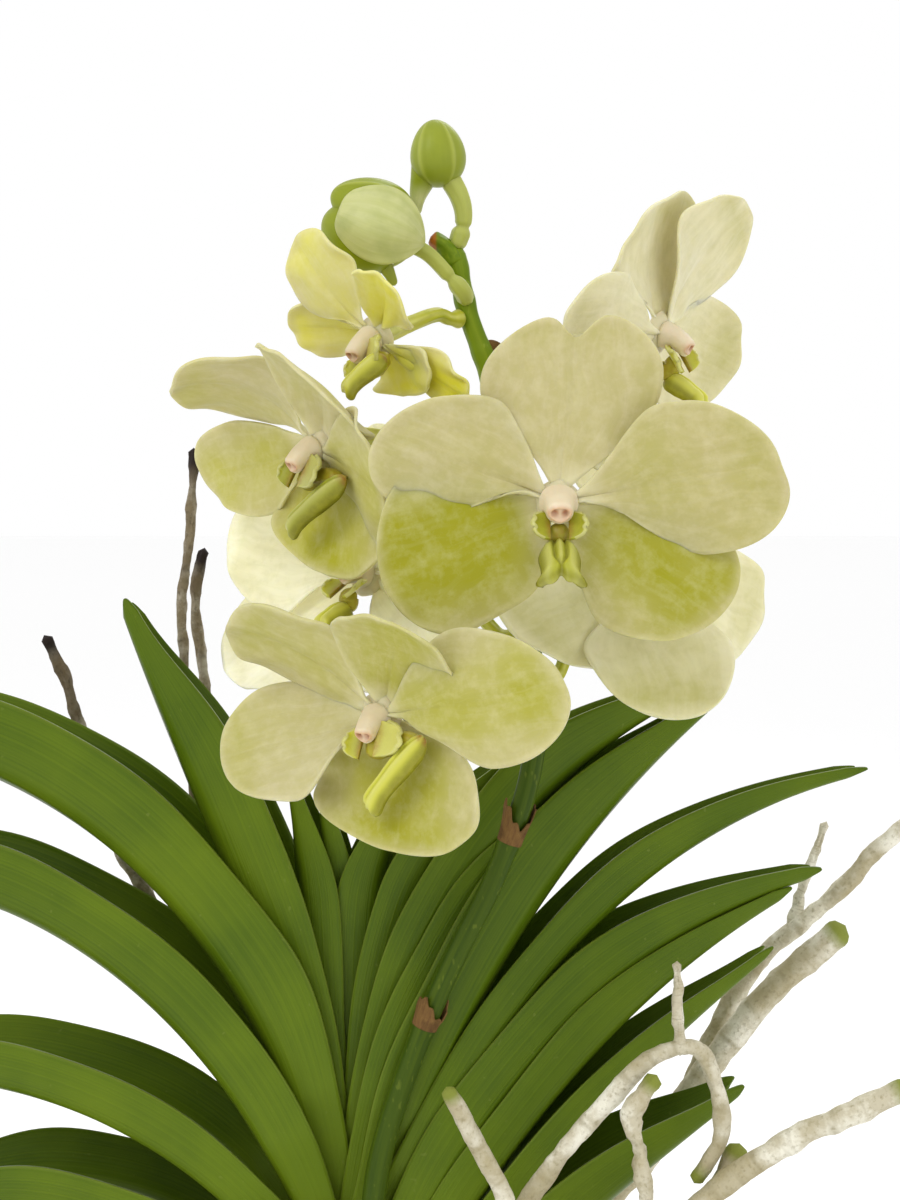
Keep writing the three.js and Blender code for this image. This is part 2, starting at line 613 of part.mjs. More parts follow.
/** Grid of points over one tepal, in the bloom's frame. */
function tepalGrid(tepal, columns, rows) {
  const fine = 20;
  const spine = [new THREE.Vector2(TEPAL_START, 0)];
  for (let step = 0; step < fine; step += 1) {
    const bend = rad(tepal.tilt + tepal.curl * ((step + 0.5) / fine));
    const last = spine[spine.length - 1];
    const stride = tepal.length / fine;
    spine.push(new THREE.Vector2(last.x + Math.cos(bend) * stride, last.y + Math.sin(bend) * stride));
  }
  const turn = new THREE.Matrix4().makeRotationZ(rad(-tepal.angle));
  turn.multiply(new THREE.Matrix4().makeRotationY(rad(tepal.roll)));
  const grid = [];
  for (let row = 0; row <= rows; row += 1) {
    const line = [];
    for (let column = 0; column <= columns; column += 1) {
      line.push(tepalPoint(tepal, (column / columns) * 2 - 1, (row / rows) * 2 - 1, spine)
        .applyMatrix4(turn));
    }
    grid.push(line);
  }
  return grid;
}

/** A point of a tepal that lies along +Y: the square (u, w) is rounded into its outline. */
function tepalPoint(tepal, u, w, spine) {
  const across = u * Math.sqrt(1 - (w * w) / 2);
  const dip = tepal.notch * Math.exp(-((u / 0.3) ** 2)) * Math.max(0, w) ** 3;
  const along = Math.max(0, (1 + w * Math.sqrt(1 - (u * u) / 2) - dip) / 2) ** 0.8;
  const x = (tepal.width / 2) * across * mix(tepal.claw + tepal.lean * u, 1, smooth(along / 0.55));
  const bend = rad(tepal.tilt + tepal.curl * along);
  const place = Math.min(along, 0.9999) * (spine.length - 1);
  const centre = spine[Math.floor(place)].clone()
    .lerp(spine[Math.floor(place) + 1], place - Math.floor(place));
  const wave = tepal.ruffle * Math.sin(along * 9 + (u > 0 ? 1.2 : 0)) * across * across;
  const crease = -0.9 * Math.exp(-((u / 0.25) ** 2)) * (1 - along);
  const rise = tepal.cup * across * across + wave + crease;
  const y = centre.x - Math.sin(bend) * rise + tepal.slant * x * along;
  return new THREE.Vector3(x, y, tepal.base + centre.y + Math.cos(bend) * rise);
}

/** All five tepals of a bloom, with each one's own differences from its kind. */
function tepalsOf(bloom) {
  return [
    { ...DORSAL, ...bloom.dorsal },
    { ...PETAL, ...bloom.left },
    { ...PETAL, ...bloom.right },
    { ...LATERAL, ...bloom.lowerLeft },
    { ...LATERAL, ...bloom.lowerRight },
  ];
}

/** The tepals, the column in their middle and the stalk behind, as one body. */
function bloomBody(bloom) {
  const matrix = bloomMatrix(bloom);
  const parts = tepalsOf(bloom).map((tepal) => blade(tepalGrid(tepal, 4, 5), TEPAL_THICKNESS));
  parts.push(new THREE.IcosahedronGeometry(4.6, 0).translate(0, 0, -1.6));
  parts.push(tube(COLUMN.path, (t) => mix(COLUMN.footRadius, COLUMN.capRadius, t), 6, 4));
  parts.forEach((part) => part.applyMatrix4(matrix));
  parts.push(stalk(bloom, matrix));
  return join(parts);
}

/** The spike's centre and radius at a height. */
function spikeAt(height) {
  const curve = new THREE.CatmullRomCurve3(SPIKE.path.map(vec));
  const centres = curve.getSpacedPoints(150);
  const step = centres.findIndex((point) => point.z >= height);
  return { centre: centres[step], radius: mix(SPIKE.baseRadius, SPIKE.tipRadius, step / 150) };
}

/** The stalk and ovary from behind the bloom to the side of the spike. */
function stalk(bloom, matrix) {
  const neck = [vec([0, 0, -2]), vec([0, 0, -12])].map((point) => point.applyMatrix4(matrix));
  const { centre, radius } = spikeAt(bloom.joint);
  const rise = Math.min(4, 0.09 * neck[1].distanceTo(centre));
  const middle = neck[1].clone().lerp(centre, 0.5).add(vec([0, 0, rise]));
  const way = centre.clone().sub(middle).setZ(0).normalize();
  const stop = centre.clone().addScaledVector(way, -radius - 2 * GAP);
  const bend = stop.clone().addScaledVector(way, -4);
  return tube([...neck, middle, bend, stop], (t) => mix(PEDICEL_RADIUS + 0.6, PEDICEL_RADIUS, t), 5, 7);
}

/** One section of the lip's tongue, round from its left margin over the ridged top. */
function tongueSection({ at, half, top, margin }, wide) {
  const notch = 2.2 * wide ** 2 * smooth((at - 0.6) / 0.4);
  const outline = [
    [-1, margin], [-0.8, top * 0.7], [-0.4, top], [0, top * 0.7], [0.4, top], [0.8, top * 0.7],
    [1, margin], [0, margin * 0.45],
  ];
  return outline.map(([u, height]) => [half * wide * u, height, u === 0 ? notch : 0]);
}

/** The lip's tongue, notched at its tip, along a line from its rear to its apex. */
function tongue(rear, apex, wide) {
  const forward = apex.clone().sub(rear);
  const run = forward.length();
  forward.normalize();
  const side = forward.clone().cross(vec([0, 1, 0.5])).normalize();
  const up = side.clone().cross(forward);
  const place = (across, height, along) => rear.clone().addScaledVector(forward, along)
    .addScaledVector(side, across).addScaledVector(up, height + Math.sin((Math.PI * along) / run));
  const rings = TONGUE.map((section) => tongueSection(section, wide)
    .map(([across, height, notch]) => place(across, height, section.at * run - notch)));
  const sides = rings[0].length;
  const points = [place(0, 0, -0.8), ...rings.flat(), place(0, 0, run - 2.4)];
  const at = (ring, index) => 1 + ring * sides + (index % sides);
  const index = [];
  for (let i = 0; i < sides; i += 1) {
    index.push(0, at(0, i + 1), at(0, i));
    index.push(points.length - 1, at(rings.length - 1, i), at(rings.length - 1, i + 1));
    for (let ring = 0; ring < rings.length - 1; ring += 1) {
      index.push(at(ring, i), at(ring, i + 1), at(ring + 1, i + 1));
      index.push(at(ring, i), at(ring + 1, i + 1), at(ring + 1, i));
    }
  }
  const geometry = new THREE.BufferGeometry().setFromPoints(points);
  geometry.setIndex(index);
  return geometry;
}

/** The lip below the column: its foot, a tongue and two upright side lobes. */
function lip(bloom) {
  const [x, y, z] = LIP_FOOT.point;
  const lobe = (side, reach) => [0, 1].map((v) => [-1, 0, 1].map((u) => new THREE.Vector3(
    side * (2.6 + reach * v), y - 0.6 + 4.8 * v, z + 2.4 + 2.6 * u * (1 - 0.3 * v))));
  const rear = vec(bloom.lipRear);
  const parts = [
    tongue(rear, vec(bloom.lipApex), bloom.lipWide),
    blade(lobe(1, rear.x > 0 ? 7 : 4.2), 1),
    blade(lobe(-1, 4.2), 1),
    new THREE.IcosahedronGeometry(LIP_FOOT.radius, 0).translate(x, y, z),
  ];
  if (rear.x > 0) parts.push(tube([LIP_FOOT.point, bloom.lipRear], () => LIP_FOOT.radius - 0.4, 6, 1));
  return join(parts).rotateZ(rad(-bloom.lipSwing)).applyMatrix4(bloomMatrix(bloom));
}

/** A closed bud on its stalk: an egg with the seams of its folded tepals, and its spur. */
function bud({ centre, radius, height, lean, stalk: line, spur }) {
  const egg = new THREE.SphereGeometry(1, 12, 9);
  const position = egg.attributes.position;
  for (let i = 0; i < position.count; i += 1) {
    const point = new THREE.Vector3().fromBufferAttribute(position, i);
    const seam = 1 + 0.06 * Math.cos(3 * Math.atan2(point.z, point.x));
    const belly = seam * (1 - 0.16 * point.y) * radius;
    position.setXYZ(i, point.x * belly, point.y * height, point.z * belly);
  }
  egg.rotateX(Math.PI / 2).rotateY(rad(-lean)).translate(...centre);
  const stem = tube([...line, centre], (t) => mix(1.6, 2, t), 6, 8);
  const tail = tube(spur, (t) => mix(2.8, 1.4, t), 5, 3);
  return join([egg, stem, tail]);
}

// ---- roots -------------------------------------------------------------------------------

/** Points where a root of this thickness leaves the stem's crown. */
function rootStart(angle, z) {
  const out = new THREE.Vector3(Math.cos(rad(angle)), Math.sin(rad(angle)), 0);
  const seat = STEM.crownRadius + GAP;
  return [seat, seat + 7].map((reach) => out.clone().multiplyScalar(reach).setZ(z));
}

/** A root that climbs out of the vase, with its side branches. */
function risingRoot(root) {
  const line = [...rootStart(root.angle, root.z), ...root.route.map(vec)];
  const trunk = tube(line, taper(root.from, root.to), 5, Math.round(line.length * 1.5));
  const branches = root.branches.map(
    (branch) => tube(branch.route, taper(branch.radius, branch.radius * 0.9), 5, 3));
  return branches.length ? join([trunk, ...branches]) : trunk;
}

/** A root that drops inside the vase, winds out to the wall and lies on the floor. */
function hangingRoot(root) {
  const line = rootStart(root.start, root.z);
  const floor = VASE.base + root.radius + GAP;
  const wallAtFloor = VASE.footRadius - VASE.wall - 5 - root.radius;
  for (let step = 1; step <= 5; step += 1) {
    const t = step / 5;
    const heading = rad(root.start + root.turn * t * t);
    const reach = mix(26, wallAtFloor, smooth(t * 1.3));
    const height = mix(root.z - 6, floor, smooth(t * 1.15));
    line.push(vec([Math.cos(heading) * reach, Math.sin(heading) * reach, height]));
  }
  return tube(line, taper(root.radius, root.radius * 0.8), 5, 8);
}

// ---- assembly ------------------------------------------------------------------------------

const orchid = new THREE.Group();

/** Adds one named piece. */
function add(name, geometry, material) {
  const mesh = new THREE.Mesh(geometry, material);
  mesh.name = name;
  orchid.add(mesh);
}

add('vase', vase(), glass);
add('stem', stem(), stemGreen);
LEAVES.forEach((leaf, order) => add(leaf.name, leafBlade(leaf, order), leafGreen));
add('flower_spike', spike(), spikeGreen);
BLOOMS.forEach((bloom) => {
  add(bloom.name, bloomBody(bloom), petalCream);
  add(bloom.name.replace('bloom', 'lip'), lip(bloom), lipYellow);
});
BUDS.forEach((item) => add(item.name, bud(item), budGreen));
RISING_ROOTS.forEach((root) => add(root.name, risingRoot(root), root.dried ? rootDark : rootPale));
HANGING_ROOTS.forEach((root) => add(root.name, hangingRoot(root), rootPale));

export default orchid;
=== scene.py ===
import math
from collections import namedtuple

import bpy
import numpy as np
from mathutils import Matrix, Vector, noise


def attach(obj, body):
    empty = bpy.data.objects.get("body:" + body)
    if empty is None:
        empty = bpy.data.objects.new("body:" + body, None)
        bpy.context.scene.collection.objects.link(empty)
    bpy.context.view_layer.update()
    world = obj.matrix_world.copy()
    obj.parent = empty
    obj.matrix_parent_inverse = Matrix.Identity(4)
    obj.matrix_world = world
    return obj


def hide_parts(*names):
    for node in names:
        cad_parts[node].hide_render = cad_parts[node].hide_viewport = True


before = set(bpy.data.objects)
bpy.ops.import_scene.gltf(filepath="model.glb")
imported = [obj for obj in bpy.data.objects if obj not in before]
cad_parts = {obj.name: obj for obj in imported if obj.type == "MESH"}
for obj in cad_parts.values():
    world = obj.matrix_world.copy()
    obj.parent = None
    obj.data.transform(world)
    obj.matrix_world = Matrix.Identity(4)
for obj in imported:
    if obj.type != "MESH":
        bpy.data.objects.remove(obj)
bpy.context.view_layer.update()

bl_info = {
    "name": "Vanda orchid in a glass vase",
    "version": (1, 0, 0),
    "blender": (4, 5, 0),
    "location": "3D View > Sidebar > Orchid",
    "description": "Builds a flowering vanda orchid with its leaf fan, aerial roots and glass vase",
    "category": "Object",
}

MM = 0.001

# ---- the plant's own measures, in millimetres and degrees ----------------------------------

VASE = dict(height=240, foot=55, mouth=74, wall=4, base=12, foot_round=3, inner_round=8,
            inner_flare=0.6)
STEM = dict(radius=7, crown=12, bottom=112, crown_top=188, top=322, scar=0.35)
LEAF = dict(top_node=318, node_step=6.95, keel_start=8.6, sheath_half_width=12, sheath_gap=8.1,
            sheath_flare=0.25, sheath_length=48, layer_step=1.63, opening_length=90, keel_gap=2.5,
            near_spread=14, far_spread=30)

# The keel climbs at the angle rise near the stem, arch midway and fall at the tip; width is that
# of one half of the blade.
Leaf = namedtuple("Leaf", "name side length rise arch fall width")
LEAVES = tuple(Leaf(*measures) for measures in (
    ("leaf_01_left", -1, 88, 89, 95, 88, 10),
    ("leaf_02_right", 1, 96, 88, 93, 72, 14),
    ("leaf_03_left", -1, 106, 79, 95, 82, 13),
    ("leaf_04_right", 1, 122, 80, 87, 46, 16),
    ("leaf_05_left", -1, 178, 80, 62, 72, 21),
    ("leaf_06_right", 1, 190, 80, 69, 20, 19),
    ("leaf_07_left", -1, 248, 80, 48, -12, 25),
    ("leaf_08_right", 1, 158, 83, 65, 44, 17),
    ("leaf_09_right", 1, 198, 74, 62, 41, 21),
    ("leaf_10_left", -1, 235, 77, 40, -17, 21),
    ("leaf_11_right", 1, 225, 74, 57, 13, 13),
    ("leaf_12_left", -1, 185, 70, 18, -12, 18),
    ("leaf_13_right", 1, 202, 73, 53, 17, 18),
    ("leaf_14_right", 1, 193, 66, 53, 31, 15),
    ("leaf_15_left", -1, 160, 68, 14, -20, 18),
    ("leaf_16_right", 1, 186, 68, 43, 41, 12),
    ("leaf_17_left", -1, 150, 63, 12, -24, 19),
    ("leaf_18_right", 1, 160, 66, 34, 40, 18),
    ("leaf_19_left", -1, 134, 64, 20, -28, 19),
))

# A bloom stands at its column's foot, turned, nodded and spun, with its stalk on the spike at the
# height joint. Its tepals are the upper sepal, the left and right petal and the lower left and
# right sepal. A tepal starts at the angle, tilts and curls forward, rolls about its spine, and
# narrows to claw at its foot, more so on one side by lean.
Lip = namedtuple("Lip", "swing broad rear apex")
Tepal = namedtuple("Tepal", "angle tilt curl roll length width slant claw lean notch")
Bloom = namedtuple("Bloom", "name foot turn nod spin joint lip tepals")
BLOOMS = tuple(Bloom(*stance, Lip(*lip), [Tepal(*shape) for shape in shapes]) for stance, lip, shapes in (
    (("bloom_1", (57.4, -82, 491.5), 1, 0, 0, 478),
     (0, 1.25, (0, -10.4, 4.2), (0, -18.8, 19)), (
        (6, 2, -1, 1, 46.5, 45.6, 0.15, 0.4, 0.1, 0.35),
        (-67, 2, 1, -12, 46.3, 36, -0.27, 0.19, 0.46, 0),
        (78, 6, 11, 10, 55.7, 41.4, 0.19, 0.18, -0.19, 0.03),
        (-112, 2, 2, 8, 46.6, 44.1, -0.14, 0.73, -0.5, 0),
        (125, 2, 2, -8, 48.6, 38.4, -0.18, 0.56, 0.12, 0),
    )),
    (("bloom_2", (-5.4, -47, 503.7), -52, -14, 8, 488),
     (0, 0.75, (15, -6, 5.6), (0, -19, 13)), (
        (28, 5, 50, 19, 41.4, 37.4, -0.25, 0.59, 0.1, 0.01),
        (-46, -2, 78, -17, 43.9, 40, -0.16, 0.15, 0.09, 0.02),
        (96, 5, 12, 8, 36.1, 39.1, 0.01, 0.23, -0.05, 0.02),
        (-110, 11, -10, 5, 51.7, 27.6, 0.6, 0.8, 0, 0),
        (165, -2, 40, -4, 32.9, 44.5, -0.33, 0.55, 0, 0),
    )),
    (("bloom_3", (12, -76, 436), -31, -13, -2, 420),
     (0, 0.75, (14, -5.5, 7), (0, -20.5, 13)), (
        (27, 9, 41, 13, 42.7, 33.8, 0.04, 0.45, -0.18, 0.13),
        (-43, 1, 31, -25, 44.6, 36.8, 0, 0.59, -0.15, 0.02),
        (78, 28, -52, -9, 59.4, 35.8, 0.27, 0.2, -0.19, 0.02),
        (-117, 21, 4, 42, 45.4, 35.7, 0.13, 0.36, 0.15, 0),
        (168, 5, 34, 1, 34.8, 50, -0.33, 1.15, 0.02, 0),
    )),
    (("bloom_4", (87, -34, 534), 60, -10, -2, 505),
     (0, 0.75, (0, -11.4, 3.8), (0, -16.4, 16.5)), (
        (-5, -30, 50, 2, 35.9, 49.7, 0.19, 0.41, 0.21, 0.08),
        (-88, -2, -6, -10, 49.3, 33.1, 0.11, 0.2, 0, 0.02),
        (39, -8, 33, 6, 45.1, 39.4, 0.16, 0.35, 0.03, 0.02),
        (-134, 4, 0, 0, 46, 43, 0.4, 0.3, 0, 0),
        (105, -25, 55, 11, 52.6, 34.7, -0.13, 0.36, -0.1, 0),
    )),
    (("bloom_5", (10, -42, 533), -47, -16, 3, 537),
     (-20, 0.75, (9, -6, 6.8), (0, -10.5, 17.5)), (
        (40, 11, 21, 12, 26.5, 21.2, -0.05, 0.25, -0.1, 0.17),
        (-38, 20, -33, 2, 33.1, 25.5, 0.02, 0.25, 0.18, 0.02),
        (115, -2, -1, 9, 33.8, 15, -0.28, 0.11, -0.18, 0.02),
        (-88, -8, 19, -13, 33, 17.7, 0.03, 0.33, -0.04, 0),
        (142, -13, 33, 13, 17.5, 31.7, -0.49, 0.3, 0, 0),
    )),
    (("bloom_6", (7, -24, 467), -46, 20, -21, 450),
     (18, 0.75, (0, -10.4, 4.2), (0, -18, 13.5)), (
        (2, 4, 6, 0, 42, 42, 0, 0.3, 0, 0.12),
        (-62, 9, 5, 1, 50, 37, 0.2, 0.2, 0, 0.02),
        (88, -6, 0, 0, 40, 34, -0.2, 0.2, 0, 0.02),
        (-105, 0, 14, 16, 53, 46, 0.28, 0.3, 0, 0),
        (140, 2, 4, 0, 48, 44, -0.4, 0.3, 0, 0),
    )),
    (("bloom_7", (83, -26, 469), 26, 22, 7, 438),
     (25, 0.75, (0, -9.8, 6), (0, -19.4, 18.8)), (
        (2, 4, 4, 0, 40, 42, 0, 0.3, 0, 0.12),
        (-90, -14, 0, 0, 30, 32, 0.2, 0.2, 0, 0.02),
        (101, -12, -16, 4, 48, 36, -0.2, 0.2, 0, 0.02),
        (-118, 2, 0, 0, 44, 40, 0.4, 0.3, 0, 0),
        (176, 31.5, -20, 22, 48, 40, -0.15, 0.3, 0, 0),
    )),
))

# A root leaves the stem at angle and height, and is start and end thick. A branch is given by its
# own thickness and route.
Root = namedtuple("Root", "name angle height start end route branches")
RISING_ROOTS = tuple(Root(*measures) for measures in (
    ("root_thick", 20, 181, 4.6, 4.2, (
        (34, 18, 200), (52, 20, 236), (74, 24, 266), (91, 24, 287), (106, 25, 308), (124, 24, 333),
        (149, 22, 357)), ()),
    ("root_long_right", 52, 176, 3.2, 2.6, (
        (34, 32, 200), (56, 32, 238), (80, 36, 268), (101, 36, 295), (107, 36, 311), (125, 36, 343),
        (146, 36, 362), (167, 36, 383), (184, 36, 394)), (
        (1.9, ((134, 36, 350), (137, 36, 362), (141, 36, 373), (145, 36, 386))),
    )),
    ("root_arched", -38, 183, 3.4, 2.2, (
        (26, -24, 205), (36, -30, 240), (50, -34, 288), (61, -36, 305), (72, -38, 319), (86, -38, 334),
        (98, -36, 336), (104, -35, 326), (106, -32, 308), (99, -30, 295)), (
        (2, ((94, -37, 334), (94, -37, 344), (93, -37, 361))),
    )),
    ("root_beaded", -72, 178, 2.6, 2.3, (
        (22, -40, 200), (44, -43, 240), (68, -45, 270), (84, -45, 293), (83, -45, 308), (80, -45, 320),
        (87, -45, 331)), ()),
    ("root_low_right", -16, 175, 3.8, 3.2, (
        (34, -16, 198), (50, -26, 236), (78, -34, 268), (100, -36, 291), (125, -40, 311),
        (141, -42, 319), (158, -42, 327)), ()),
    ("root_stub", 2, 166, 3, 3.2, (
        (36, -4, 190), (62, -16, 236), (84, -24, 266), (101, -28, 286), (108, -28, 296),
        (112, -28, 306)), ()),
    ("root_pale_front", -96, 186, 2.8, 2.4, (
        (10, -38, 206), (36, -48, 240), (50, -48, 276), (45, -50, 297), (35, -54, 318), (29, -56, 331)), ()),
    ("root_dark_left", 118, 182, 1.8, 1.5, (
        (-16, 32, 214), (-28, 36, 262), (-40, 36, 299), (-45, 36, 362), (-49, 36, 402), (-51, 36, 457),
        (-48, 36, 478), (-47, 36, 500)), ()),
    ("root_grey_left", 92, 185, 2.6, 1.8, (
        (-10, 44, 214), (-22, 46, 262), (-32, 46, 303), (-38, 46, 344), (-43, 46, 394), (-47, 46, 441),
        (-48, 46, 456), (-45, 46, 469)), ()),
    ("root_far_left", 146, 176, 2.8, 1.8, (
        (-22, 24, 214), (-24, 30, 266), (-46, 30, 329), (-63, 30, 366), (-70, 30, 378), (-82, 30, 418),
        (-87, 30, 433), (-92, 30, 444)), ()),
))

SPIKE_PATH = (
    (6, -24.8, 262), (10, -25.8, 300), (21, -26.8, 335), (31, -28.4, 359), (43, -29, 384),
    (52, -30, 411), (54, -30, 433), (51, -29, 455), (48, -27, 477), (44, -25, 502),
    (40.4, -22, 524), (34.9, -20, 540), (31.2, -18, 558),
)
SPIKE_RADII = (3.4, 2.7)
SPIKE_NODES = (0.26, 0.45, 0.58, 0.66, 0.74, 0.8, 0.86, 0.9, 0.95, 0.98)
# share of the way up, radius at the rim, height
SPIKE_SHEATHS = ((0.26, 4.7, 6.5), (0.45, 4.9, 8.5))
# share of the way up, heading, length
SPIKE_BRACTS = ((0.66, (1, -0.3, 0.5), 9), (0.9, (1, 0, 0.4), 6))
# The lighter green starts at this height and is full after this length. So does the stub's scar,
# from this far right of the middle and leftwards.
SPIKE_LIGHTER = (415, 70)
SPIKE_SCARRED = (26.6, 0.8)
SPIKE_STUB = ((31.5, -19, 552.5), (29, -19, 557.5), (24.6, -19, 560.6))

STALK_RADIUS = 1.9
TEPAL_START = 2.2
COLUMN_PATH = ((0, 0, 0), (0, -0.6, 5), (0, -3, 9.6))
# shares of the way along, and the radius at each
COLUMN_RADII = ((0, 0.2, 0.45, 0.75, 1), (5.7, 4.6, 3.7, 3.2, 2.9))
COLUMN_FOOT_PATH = ((0, 0, -2.4), (0, 0, -0.4), (0, 0, 1.8))
COLUMN_FOOT_RADII = ((0, 0.35, 0.7, 1), (7.0, 5.9, 5.0, 4.4))
CAP_FACING = (0, -0.463, 0.886)
CAP_UPWARD = (0, 0.886, 0.463)
CAP_SIZE = (2.5, 1.7)
CAP_RAISE = 0.4
PIT_ASIDE = 1.3
PIT_SIZE = (0.8, 1.0)
LIP_FOOT = (0, -7.5, 4.7)
# How far aside a lip's side lobe reaches, how far it stands off the lip's foot, and half its height.
Lobe = namedtuple("Lobe", "reach lift tall")
UPRIGHT_LOBE = Lobe(4.2, 0.0, 3.1)
HOODED_LOBE = Lobe(9.5, 1.7, 3.9)
# A lip that starts this far aside is seen from its side, and its tongue reaches back by a share.
LIP_ASIDE = 10
LIP_REACH_BACK = 0.17
GAP = 0.3

Egg = namedtuple("Egg", "centre radius height lean")
CLOSED_BUD = Egg((26.4, -18, 583.3), 7.5, 9.3, 6)
CLOSED_BUD_SPUR = ((25, -18, 583), (22.8, -18, 577), (21, -18, 571), (20.8, -18, 566.5))
CLOSED_BUD_STALK = (
    (31.4, -18, 557), (33.6, -18, 564), (33.6, -18, 568), (32.4, -18, 572), (29, -18, 578),
)
OPENING_BUD = dict(
    core=Egg((9, -25, 563.5), 10, 10.4, 64),
    upper_sepal=Egg((8.8, -25.8, 568.4), 7.6, 11.8, 74),
    lower_sepal=Egg((5.6, -25.5, 560.2), 9.6, 11.6, 60),
    front_sepal=Egg((9.6, -25, 563), 10.8, 12, 70),
    rear_sepal=Egg((9, -25, 563), 10.8, 12, 62),
)
OPENING_BUD_FLAP = ((9, -27, 557), (12.5, -27.5, 552), (15, -27, 547))
OPENING_BUD_STALK = (
    (34.8, -21, 542.5), (33.4, -24.2, 545.5), (29.5, -25, 550), (23.5, -25, 556), (17, -25, 559),
    (12, -25, 561),
)

# How far forward a tepal starts, how deep its cup is and how high its waves are.
SEPAL_TOP = dict(base=0, cup=1.5, ruffle=1.2)
PETAL = dict(base=1.2, cup=-1, ruffle=1.5)
SEPAL_LOW = dict(base=-0.8, cup=1.5, ruffle=1.2)
TEPAL_KINDS = (SEPAL_TOP, PETAL, PETAL, SEPAL_LOW, SEPAL_LOW)

# How green each tepal is, how pale and how yellow the bloom is, and how yellow its lip. The paleness is
# strongest on the blooms at the back and is painted backlight: light shining through their petals.
Tones = namedtuple("Tones", "greens pale bright lip")
BLOOM_TONES = {
    "bloom_1": Tones((0.05, 0.1, 0.08, 0.95, 0.95), 0.0, 0.0, 0.2),
    "bloom_2": Tones((0.2, 0.2, 0.6, 0.5, 0.95), 0.1, 0.25, 0.0),
    "bloom_3": Tones((0.75, 0.4, 0.7, 0.15, 0.9), 0.1, 0.1, 0.85),
    "bloom_4": Tones((0.1, 0.1, 0.05, 0.25, 0.05), 0.45, 0.0, 0.95),
    "bloom_5": Tones((0.95, 0.3, 1.0, 0.6, 1.0), 0.2, 0.9, 0.8),
    "bloom_6": Tones((0.0, 0.0, 0.0, 0.05, 0.0), 1.0, 0.0, 1.0),
    "bloom_7": Tones((0.1, 0.1, 0.2, 0.3, 0.3), 0.7, 0.1, 0.4),
}

# name, angle and height on the stem, how far it winds round the vase, and its thickness
HANGING_ROOTS = (
    ("root_in_vase_1", 10, 140, 120, 3.4),
    ("root_in_vase_2", 70, 150, 110, 2.8),
    ("root_in_vase_3", 130, 144, 118, 3.6),
    ("root_in_vase_4", 190, 152, 105, 3),
    ("root_in_vase_5", 250, 138, 125, 3.2),
    ("root_in_vase_6", 310, 150, 115, 2.8),
)
DRIED_ROOTS = ("root_dark_left", "root_grey_left", "root_far_left")
DRIED_SLIM = 0.85
# how knobbly a root is, where it isn't plain
KNOBS = dict(root_beaded=2.2, root_dark_left=1.3, root_grey_left=1.3, root_far_left=1.3)
BRANCH_KNOBS = 2.0
HANGING_KNOBS = 0.8
# A hanging root bends this often, starts its turn at a reach and keeps clear of the glass.
HANGING_BENDS = 5
HANGING_REACH = 26
GLASS_CLEARANCE = 5

# sheet thicknesses, and how near two vertices are welded, in metres
LOBE_THICKNESS = 0.0011
BUD_SKIN = 0.0011
WELD_REACH = 0.000004

# cells round and along the grids that pieces are bent from
VASE_CELLS = (128, 60)
STEM_CELLS = (40, 150)
TEPAL_CELLS = (34, 34)
TONGUE_CELLS = (72, 44)
LOBE_CELLS = (26, 20)
EGG_CELLS = (120, 40)
BUD_SEPAL_CELLS = (34, 34)
SHEATH_CELLS = (48, 12)
BRACT_CELLS = (10, 12)
LEAF_COLUMNS = 26
LEAF_CELL = 2.6
ROOT_COLUMNS = 16
ROOT_CELL = 1.6

# ---- the stage's measures, in metres and degrees --------------------------------------------

CAMERA = dict(place=(0.030, -0.716, 0.533), pitch=84, lens=75, sensor=36, near=0.01)
# name, place, aim, size, power
LIGHTS = (
    ("key", (-0.9, -1.3, 1.8), (0, 0, 0.42), 0.9, 9),
    ("fill", (1.4, -1.0, 0.9), (0, 0, 0.4), 1.4, 2),
    ("back", (0.5, 1.2, 1.6), (0, 0, 0.45), 0.9, 6),
)
FLOOR_SIZE = 12
FLOOR_PALE = (0.97, 0.97, 0.97, 1)
FLOOR_PALER = (0.985, 0.985, 0.985, 1)


# ---- what a user may change ------------------------------------------------------------------

def length(name, description, default):
    return bpy.props.FloatProperty(name=name, description=description, default=default,
                                   min=0.0001, max=0.01, precision=5, unit="LENGTH")


def colour(name, description, default):
    return bpy.props.FloatVectorProperty(name=name, description=description, default=default,
                                         size=4, min=0, max=1, subtype="COLOR")


class OrchidSizes(bpy.types.PropertyGroup):
    """Thicknesses and amounts of relief on the plant"""
    leaf_thickness: length("Leaf thickness", "Thickness of a strap leaf's blade", 0.0011)
    tepal_thickness: length("Petal thickness", "Thickness of a petal or sepal", 0.0008)
    tepal_ripple: length("Petal ripple", "Height of the small waves on a petal", 0.0005)
    root_bumps: length("Root bumps", "Height of the swellings on an aerial root", 0.0006)
    sheath_thickness: length("Sheath thickness", "Thickness of a papery sheath", 0.0004)


